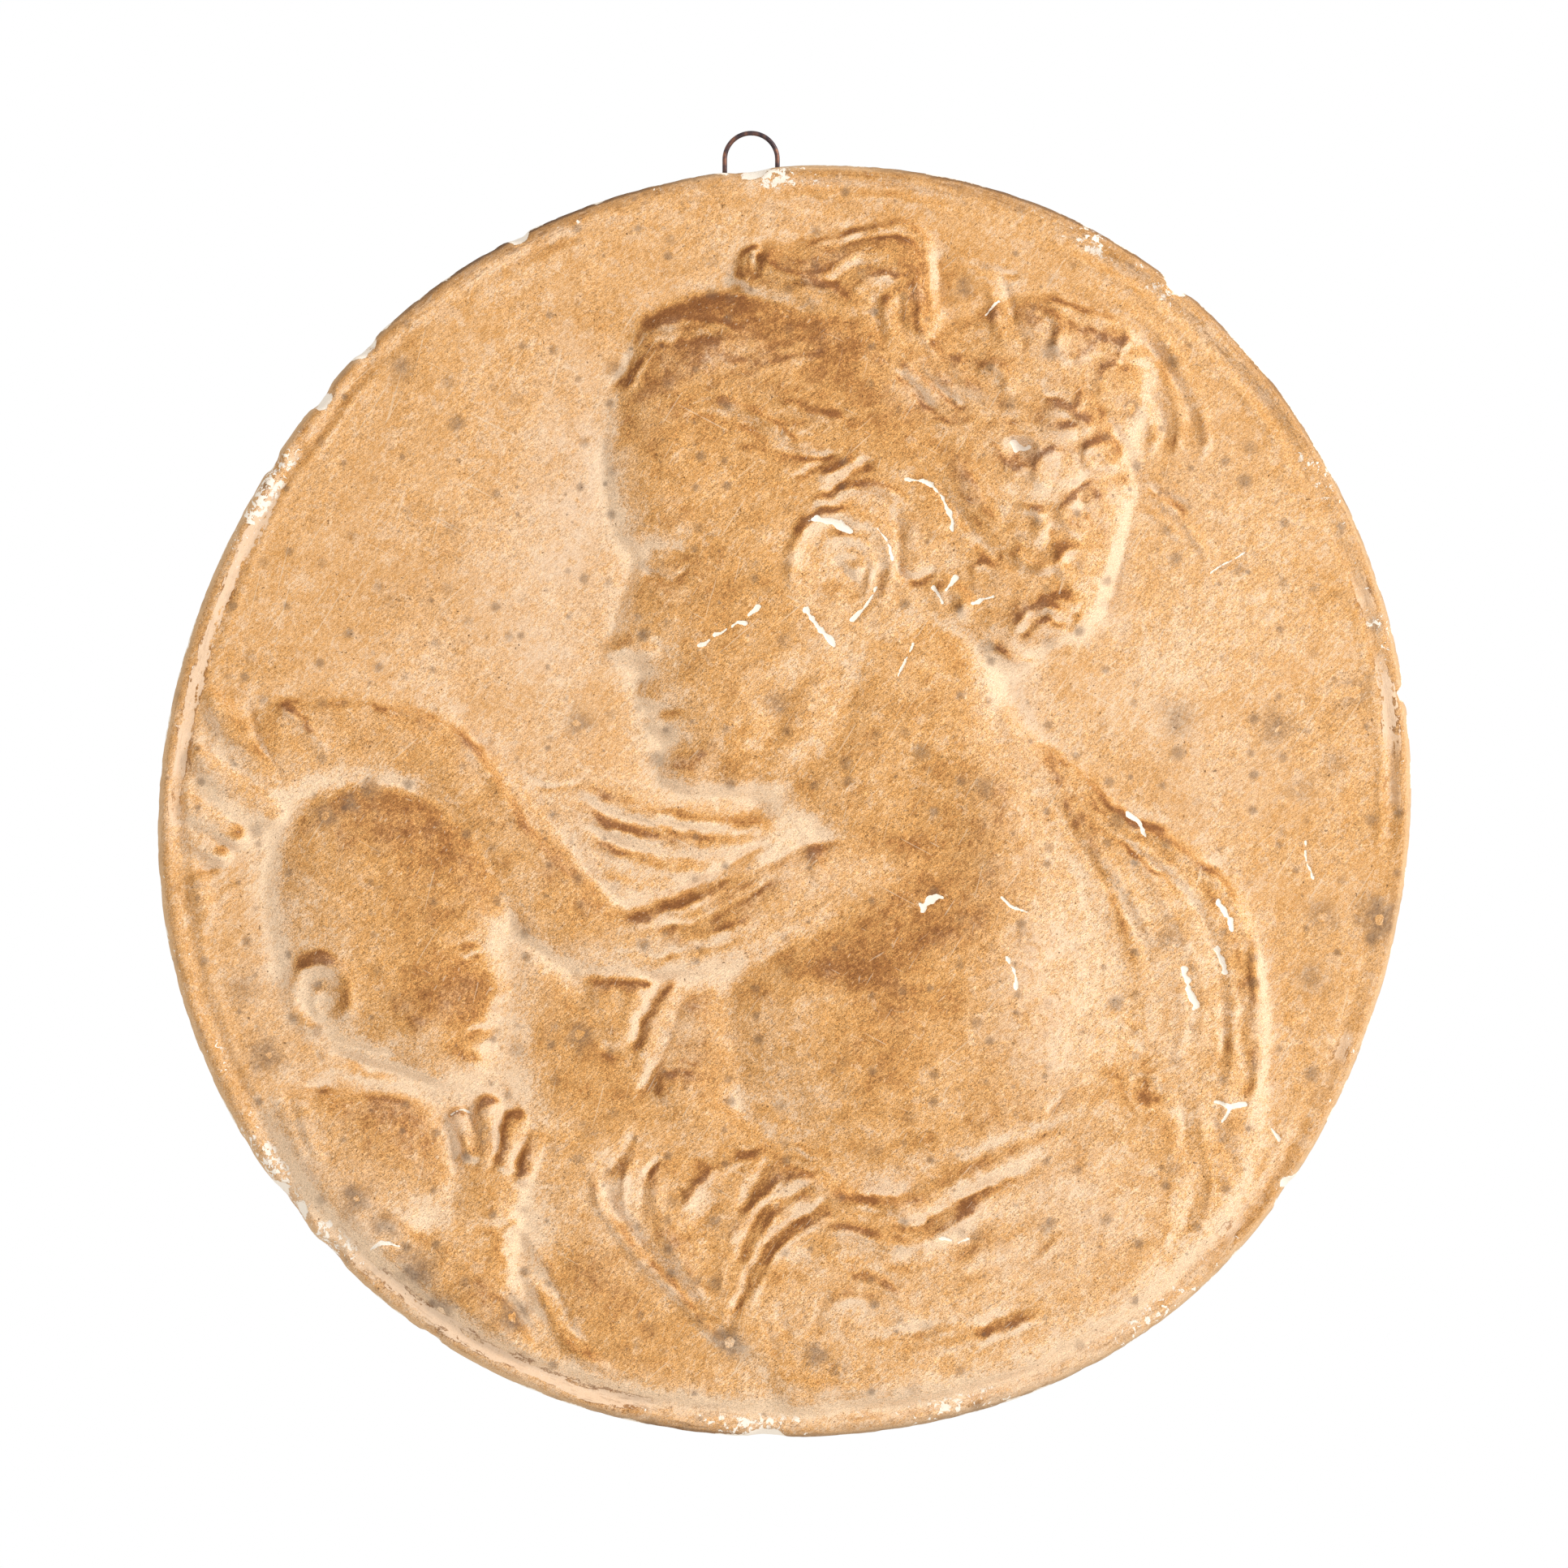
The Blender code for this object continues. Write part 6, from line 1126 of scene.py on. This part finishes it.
# Where the wash is darker, or paler by a negative amount: (across, up, half width, half height, amount)
DUSTED_AND_LIT = (
    (20, -10, 15, 13, .20), (10, -26, 8, 6, .16), (0, 70, 26, 11, .12), (-18, 76, 8, 5, .20),
    (-62, -5, 16, 10, .11), (-52, -10, 8, 9, .08), (-62, -53, 12, 7, .14), (-30, -74, 10, 18, .12),
    # Painted light: the pale (44, -28) patch on the next line lightens the back's side that faces right, as
    # if lit from the right
    (44, -28, 12, 24, -.20), (8, 37, 8, 8, -.10), (62, 24, 16, 14, -.12), (-38, 36, 9, 30, -.12),
    (-20, -22, 22, 4, -.10), (12, -46, 16, 10, .05), (-58, -63, 7, 7, -.12), (-45, -70, 7, 5, -.10),
    (-50, 60, 22, 22, .03), (26, -78, 26, 14, -.13), (64, -32, 9, 20, -.08), (-2, 12, 8, 10, .05),
    (85, 0, 12, 40, .03), (-20, 92, 30, 8, -.04), (42, 62, 14, 20, .06), (-70, 30, 20, 20, .02),
    (5, -10, 13, 4, -.30), (-50, -32, 8, 10, .22), (24, 82, 7, 6, .26), (42, 28, 5, 8, .24),
    (-8, 4, 9, 4, .24), (50, 0, 7, 5, .18), (-12, -43, 5, 5, .18), (-30, -40, 7, 10, .16),
    (-31, -8, 7, 14, .12), (25, -20, 9, 8, .08), (38, 52, 8, 11, -.24), (36, 72, 7, 6, -.20),
    (14, 38, 6, 5, -.14), (-27, 53, 5, 4, -.18), (-28, -62, 8, 8, -.24), (3, -36, 5, 14, -.18),
    (40, -64, 13, 6, -.16), (-77, -50, 7, 8, -.20), (-50, -53, 5, 5, -.16), (-72, -16, 12, 11, -.10),
    (-45, -74, 6, 9, .20), (16, 58, 6, 5, .10), (14, -66, 26, 12, .07), (53, 46, 4, 12, .08),
    (-90, -8, 6, 12, -.10))
# Where the wash has worn to a greyish cream: (across, up, half width, half height, share)
CREAMY = (
    # Painted light rather than wear: (39, -30) on the next line makes the back's side that faces right
    # paler, as if lit from the right
    (-35, 50, 6, 24, .70), (-44, 28, 12, 14, .42), (-60, 38, 12, 18, .16), (39, -30, 8, 22, .70),
    (36, 14, 5, 16, .50), (66, 4, 12, 8, .34), (47, -62, 8, 9, .50), (5, -11, 10, 4, .40),
    (-16, -36, 5, 8, .40), (40, 62, 10, 12, .30), (14, 38, 6, 7, .30), (-34, 0, 8, 12, .34),
    (-56, -52, 8, 6, .30), (-82, -30, 6, 16, .30), (-26, -66, 6, 10, .40), (34, -72, 14, 8, .30),
    (62, -32, 6, 14, .26), (64, 52, 8, 12, .24), (-70, -62, 10, 8, .34), (12, -80, 14, 6, .24),
    (22, 65.6, 5, 3.6, .90), (-9, 70.8, 7, 2.2, .60), (38, 56, 6, 3, .50), (46, 50, 5, 6, .50),
    (46, 71, 5, 4, .50), (-31.5, 56, 1.6, 10, .50), (51, 34, 3, 12, .50), (5, 27, 3, 5, .55))
# Where the rim is worn more or less than elsewhere: turn and spread in degrees, and how much
RIM_WEAR = ((242, 17, 0.62), (163, 17, 0.52), (10, 15, 0.34), (322, 24, 0.22), (205, 12, 0.16),
            (78, 10, 0.12))
# Where the rim has crumbled to bare plaster, and where it is dark with dirt, in the same terms
RIM_CRUMBLED = (
    (149, 5, 1.0), (91, 2, 1.0), (214, 4, 0.9), (224, 3, 0.8), (204, 2, 0.6), (267, 4, 0.9),
    (285, 5, 0.7), (306, 5, 0.6), (32, 3, 0.5), (62, 2, 0.8), (54, 2, 0.5), (17, 3, 0.6), (336, 3, 0.3))
RIM_DIRTY = ((114, 16, 0.9), (70, 12, 0.7), (45, 14, 0.5), (262, 12, 0.5), (288, 14, 0.3), (20, 14, 0.15))
# Fine lines of dirt in hollows, as strokes of (across, up) points with a half width and an amount
STAINED = (
    ((41, 7), (46, -4), (51.5, -16), (55, -29), (56.5, -40), (56, -50), 0.9, 0.22),
    ((47, 2), (53, -3.4), (60, -8), (66, -13.6), (70, -21), (71.6, -31), 0.7, 0.16),
    ((51, -43), (55.6, -45.4), (59, -50), 2.2, 0.18), ((-4, 80.6), (3, 81.6), (9, 80.2), 0.9, 0.20),
    ((33, 24.6), (38, 22.4), (44, 24.4), 1.3, 0.22),
    ((-27, 69.6), (-22, 76), (-13, 79), (-6, 79), 1.6, 0.18),
    ((28, 47.6), (30.6, 43), (34.6, 38.6), 0.8, 0.20), ((33, 55), (36, 53), (39, 54.6), 1.5, 0.30),
    ((49, 62), (52.4, 55), (53.6, 48), 0.8, 0.24),
    ((-2, -57), (12, -55), (24, -52), (34, -48.6), 1.4, 0.12))
# Bare nicks as strokes of (across, up) points with a half width
NICKS = (
    ((21.3, -15.9), (22.2, -15.2), (23.6, -14.5), 0.62), ((53.5, -1.2), (55.2, -3), (56.6, -5.4), 0.36),
    ((67.8, -15.5), (69.2, -17.6), (69.6, -19.5), 0.40),
    ((67.6, -22.8), (68.4, -24.6), (68.8, -26), 0.40), ((62.3, -26), (63.1, -29), (64.3, -32.2), 0.46),
    ((67.2, -46.6), (69.6, -47.4), (72, -47), 0.30), ((69.6, -47.4), (69, -49), (68.4, -50), 0.18),
    ((76, -51), (76.6, -52), (77.2, -52.8), 0.22), ((81.6, -6), (81.4, -9), (82.4, -12), 0.14),
    ((35.4, 56.6), (36.4, 55.9), (37.6, 56), 0.50), ((4, 44.6), (6.6, 44.4), (9.4, 42.8), 0.52),
    ((14, 43), (15.8, 41), (16.5, 38), 0.20), ((14, 34), (12, 31.2), (9.6, 29), 0.22),
    ((2.2, 30.6), (4.4, 27.6), (7, 25.2), 0.36), ((18.5, 51.5), (21.4, 50.8), (24, 48), 0.22),
    ((24, 48), (25.5, 45), (25.8, 43), 0.28), ((23, 34), (24, 32.6), (24.6, 31.5), 0.28),
    ((25, 33.5), (25.8, 34.8), (26.5, 36), 0.26), ((29, 31.5), (30.6, 32.2), (32, 32.5), 0.28),
    ((31, 77), (32, 78.2), (33, 79), 0.14), ((17, 20), (18.4, 22.6), (19.5, 25), 0.14),
    ((24, -68), (25, -68.2), (26, -68.5), 0.22), ((27, -69), (27.8, -68.7), (28.5, -68.5), 0.16),
    ((33.5, -14.6), (35, -16.2), (37.2, -17.4), 0.16), ((66, 36), (70, 39), (71.5, 40), 0.09),
    ((-53, -49), (-51.4, -48.2), (-50, -48.6), 0.14), ((-14.4, 25.2), (-13.6, 25.4), (-12.8, 26), 0.30),
    ((-12, 26.8), (-11, 27), (-10, 27.6), 0.20), ((-9.2, 27.8), (-8.2, 28.6), (-7, 28.4), 0.22),
    ((-6.6, 29.6), (-5.6, 30.2), (-4.6, 31), 0.34), ((34, -24), (35.4, -26.4), (35.8, -29), 0.26),
    ((-66, -70), (-64, -69), (-61.6, -69.6), 0.24))


def round_the_rim(turn, marks):
    """The sum of the marks at each turn in degrees, each fading over its spread."""
    return sum(amount * np.exp(-((((turn - place + 180) % 360 - 180) / wide) ** 2))
               for place, wide, amount in marks)


def patches(clay, marks):
    """The sum of soft patches, each given as (across, up, half width, half height, amount)."""
    return sum(amount * np.exp(-(((clay.x - x) / wide) ** 2 + ((clay.z - z) / tall) ** 2))
               for x, z, wide, tall, amount in marks)


def patina(clay):
    """How much dust with painted light and shade, worn cream with a painted highlight on ridge tops,
    foxing, soot and bare plaster there is, from 0 to 1 each.
    """
    soft = clay.blurred(clay.h, 2.4)
    detail = clay.h - soft
    # Painted shade: besides slopes that face up, where dust settles, slopes that face left are darkened as
    # if in shade from a lamp on the right
    close = np.clip(-np.gradient(detail, clay.spacing, axis=0) * 0.8
                    + np.gradient(detail, clay.spacing, axis=1) * 0.25, -0.5, 0.5)
    broad = np.clip(-np.gradient(soft, clay.spacing, axis=0), -0.35, 0.35)
    inside = smooth_step(0.7, 1.9, clay.h)
    near = clay.blurred(inside, 4.5)
    ground = 1 - inside
    far, angle = np.hypot(clay.x, clay.z), np.arctan2(clay.z, clay.x)
    turn = np.degrees(angle) % 360
    # Lines along folds and locks, broken and ragged: dust on slopes that face up, and painted shade, more
    # faintly, on slopes that face left
    lines = (0.74 * close + 0.16 * np.clip(detail, -0.8, 0.8)) * (1 - 0.65 * smooth_step(90, 93, far))
    pulled = sample(clay, lines, clay.x + 0.45 * clay.stray(1.7, 34), clay.z + 0.45 * clay.stray(1.7, 35))
    dust_and_painted_light = 0.40 + pulled * np.clip(1 + 0.9 * clay.stray(2.6, 33), 0.15, 2.2) + 0.38 * broad
    above = smooth_step(0.0, 0.09, -np.gradient(near, clay.spacing, axis=0))
    faint = 1 - 0.55 * smooth_step(52, 70, clay.x)
    dust_and_painted_light += ground * (0.04 - 0.36 * faint * (1 - 0.85 * above) * smooth_step(0.04, 0.5, near))
    dust_and_painted_light += inside * 0.035 * np.clip(soft, 0, 4.5)
    dust_and_painted_light += patches(clay, DUSTED_AND_LIT)
    dust_and_painted_light += 0.06 * clay.stray(9, 31) + inside * (0.06 * clay.stray(4, 32) + 0.05 * clay.stray(1.6, 36))
    for *points, half, amount in STAINED:
        path = smooth_path(points)
        part = clay.window(path, 3 * half)
        gap, _, _ = clay.measure(path, part)
        gap = gap + 0.6 * half * clay.stray(1.3, 40, part)
        broken = np.clip(0.9 + 1.3 * clay.stray(1.5, 39, part), 0, 2)
        dust_and_painted_light[part] += amount * broken * np.exp(-((gap / half) ** 2))
    # Painted highlight: the tops of the relief's ridges are made paler cream, as if catching light, on top
    # of the worn cream patches
    crown = np.clip(detail, 0, 0.5) * inside * smooth_step(-0.2, 0.5, clay.stray(3.2, 37))
    cream = np.clip(patches(clay, CREAMY) * (1 + 0.5 * clay.stray(5, 38)) + 1.1 * crown, 0, 1)
    foxing = np.zeros_like(clay.h)
    for x, z, radius, strength in FOXING:
        part = clay.window(np.array([(x, z)]), 2.2 * radius)
        u, v = clay.x[part], clay.z[part]
        away = np.hypot(u - x, v - z) + 0.4 * radius * noise(u, v, 1.1, 41)
        foxing[part] = np.maximum(foxing[part], strength * np.exp(-((away / radius) ** 2.4)))
    edge = 100 * swerve(angle) - far
    worn = clay.stray(2.4, 51)
    dirty = 0.35 + round_the_rim(turn, ((125, 45, 0.65), (285, 40, 0.4)))
    soot = 0.35 * dirty * smooth_step(1.3, 0.4, edge)
    low_left = round_the_rim(turn, ((228, 26, 1.0),))
    cloudy = smooth_step(-0.2, 0.8, clay.stray(4, 52))
    soot += 0.20 * low_left * np.exp(-(((edge - 8) / 4) ** 2)) * cloudy
    chipped = smooth_step(-0.3, 0.3, chip_reach(angle) - edge + 0.5 * worn)
    bare = 0.8 * chipped * smooth_step(-0.9, 0.1, worn)
    return np.clip(dust_and_painted_light, 0, 1), cream, np.clip(foxing, 0, 1), np.clip(soot, 0, 1), bare


def nick(clay, bare):
    """Shallow chips in the skin that show bare plaster."""
    for *points, half in NICKS:
        path = smooth_path(points)
        part = clay.window(path, 4 * half + 1)
        gap, _, _ = clay.measure(path, part)
        gap = gap + 0.9 * half * clay.stray(0.8, 71, part)
        share = smooth_step(half * 1.3, half * 0.8, gap)
        clay.h[part] -= NICK_DEPTH * share
        bare[part] = np.maximum(bare[part], share)


def finer(mesh, keep_near, steps):
    """Splits the long facets that lie close to small marks, so that these get crisp edges."""
    work = bmesh.new()
    work.from_mesh(mesh)
    for longest in steps:
        places = np.array([v.co for v in work.verts])
        flags = keep_near(places[:, 0] / UNIT, places[:, 2] / UNIT) & (places[:, 1] < -SLAB_THICKNESS / 2)
        edges = [e for e in work.edges if flags[e.verts[0].index] and flags[e.verts[1].index]
                 and e.calc_length() > longest]
        bmesh.ops.subdivide_edges(work, edges=edges, cuts=1)
        bmesh.ops.triangulate(work, faces=[f for f in work.faces if len(f.verts) > 3 and len(f.verts) < 12])
        work.verts.index_update()
    work.to_mesh(mesh)
    work.free()


def near_nicks(x, z):
    """Which of the places lie close to a nick."""
    close = np.zeros(len(x), bool)
    for *points, half in NICKS:
        for px, pz in smooth_path(points, step=0.4):
            close |= (x - px) ** 2 + (z - pz) ** 2 < (half + 0.7) ** 2
    return close


def near_foxing(x, z):
    """Which of the places lie close to a foxing spot."""
    close = np.zeros(len(x), bool)
    for px, pz, radius, _ in FOXING:
        close |= (x - px) ** 2 + (z - pz) ** 2 < (1.6 * radius) ** 2
    return close


def make_roundel():
    clay = Clay(CLAY_SPACING)
    carve(clay)
    dust_and_painted_light, cream, foxing, soot, bare = patina(clay)
    nick(clay, bare)
    piece = link("fine_roundel", casting_mesh(clay, FINE_CELLS))
    fewer_facets(piece, FINE_FACETS)
    finer(piece.data, near_foxing, FOXING_EDGES)
    finer(piece.data, near_nicks, NICK_EDGES)
    spots = places_of(piece.data)
    x, z = spots[:, 0] / UNIT, spots[:, 2] / UNIT
    front = smooth_step(FRONT_FROM, FRONT_TO, -spots[:, 1])
    for name, field, behind in (("dust_and_painted_light", dust_and_painted_light, 0.30), ("cream", cream, 0.0), ("foxing", foxing, 0.0),
                                ("soot", soot, 0.25), ("bare", bare, 0.0)):
        give(piece.data, name, sample(clay, field, x, z) * front + behind * (1 - front))
    inward = 100 * swerve(np.arctan2(z, x)) - np.hypot(x, z)
    give(piece.data, "edge_mm", inward * UNIT * 1000 * front + 12 * (1 - front))
    turn = np.degrees(np.arctan2(z, x)) % 360
    give(piece.data, "rim_wear", 0.16 + round_the_rim(turn, RIM_WEAR))
    give(piece.data, "rim_crumbled", round_the_rim(turn, RIM_CRUMBLED))
    give(piece.data, "rim_dirt", 0.12 + round_the_rim(turn, RIM_DIRTY))
    # The front keeps to the casting's height, so that laying it finer never makes the piece thicker
    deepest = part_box("plaster_roundel")[0][1]
    lowest = spots[:, 1] < deepest
    spots[lowest, 1] = deepest
    piece.data.vertices.foreach_set("co", spots.astype(np.float32).ravel())
    piece.data.shade_smooth()
    piece.data.materials.clear()
    piece.data.materials.append(aged_plaster())
    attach(piece, "root")
    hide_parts("plaster_roundel")
    return piece


def make_loop():
    """The wire bow, round and slender, with its legs in the plaster."""
    low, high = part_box("hanging_loop")
    half = LOOP_WIDTH / 2
    top = high[2] - WIRE_DIAMETER / 2
    shoulder = top - half
    foot = low[2] + 0.0002
    path = [(-half, foot), (-half, shoulder)]
    for step in range(1, BOW_STEPS):
        turn = math.pi * (1 - step / BOW_STEPS)
        path.append((half * math.cos(turn), shoulder + half * math.sin(turn)))
    path += [(half, shoulder), (half, foot)]
    curve = bpy.data.curves.new("bent wire", "CURVE")
    curve.dimensions = "3D"
    curve.use_fill_caps = True
    curve.bevel_depth = WIRE_DIAMETER / 2 * 0.98
    curve.bevel_resolution = 5
    line = curve.splines.new("POLY")
    line.points.add(len(path) - 1)
    for (x, z), knot in zip(path, line.points):
        knot.co = (LOOP_CENTRE_X + x, LOOP_Y, z, 1)
    draft = link("bent wire", curve)
    mesh = bpy.data.meshes.new_from_object(draft.evaluated_get(bpy.context.evaluated_depsgraph_get()))
    bpy.data.objects.remove(draft, do_unlink=True)
    work = bmesh.new()
    work.from_mesh(mesh)
    bmesh.ops.remove_doubles(work, verts=work.verts, dist=0.00001)
    bmesh.ops.recalc_face_normals(work, faces=work.faces)
    work.to_mesh(mesh)
    work.free()
    mesh.shade_smooth()
    piece = link("bent_wire_loop", mesh)
    mesh.materials.clear()
    mesh.materials.append(rusted_wire())
    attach(piece, "root")
    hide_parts("hanging_loop")
    return piece


def soft_light(name, place, size, power):
    """A lamp that faces the origin, with its sides in metres and its power in watts."""
    lamp = bpy.data.lights.new(name, "AREA")
    lamp.shape = "RECTANGLE"
    lamp.size, lamp.size_y = size
    lamp.energy = power
    holder = link(name, lamp)
    holder.location = place
    holder.rotation_euler = (-Vector(place)).to_track_quat("-Z", "Y").to_euler()


def make_studio():
    """White surroundings, broad soft lamps in front, and a pale floor well below the hanging plaque."""
    bpy.ops.mesh.primitive_plane_add(size=6, location=(0, 0, FLOOR_LEVEL))
    floor = bpy.context.active_object
    floor.name = "studio_floor"
    floor.data.materials.append(painted_floor())
    world = bpy.data.worlds.new("white studio")
    bpy.context.scene.world = world
    world.use_nodes = True
    background = world.node_tree.nodes["Background"]
    background.inputs["Color"].default_value = (1, 1, 1, 1)
    background.inputs["Strength"].default_value = 1.0
    soft_light("key", (1.75, -1.25, 0.75), (0.8, 0.8), 48)
    soft_light("fill", (-1.0, -1.9, -0.1), (1.2, 1.2), 2)
    bpy.context.scene.view_settings.view_transform = "Standard"


def make_camera():
    """Square on to the disc from far off, framed so that the disc falls where the photograph has it."""
    metres_per_pixel = MEAN_RADIUS / MEAN_RADIUS_PIXELS
    across = (PHOTO_PIXELS / 2 - DISC_MIDDLE_PIXEL[0]) * metres_per_pixel
    up = (DISC_MIDDLE_PIXEL[1] - PHOTO_PIXELS / 2) * metres_per_pixel
    eye = bpy.data.cameras.new("view")
    eye.sensor_width = SENSOR_WIDTH
    eye.sensor_fit = "AUTO"
    eye.lens = SENSOR_WIDTH * CAMERA_DISTANCE / (PHOTO_PIXELS * metres_per_pixel)
    eye.clip_end = 50
    camera = link("view", eye)
    camera.location = (across, -CAMERA_DISTANCE - SLAB_THICKNESS, up)
    camera.rotation_euler = (math.pi / 2, 0, 0)
    bpy.context.scene.camera = camera


make_roundel()
make_loop()
make_studio()
make_camera()
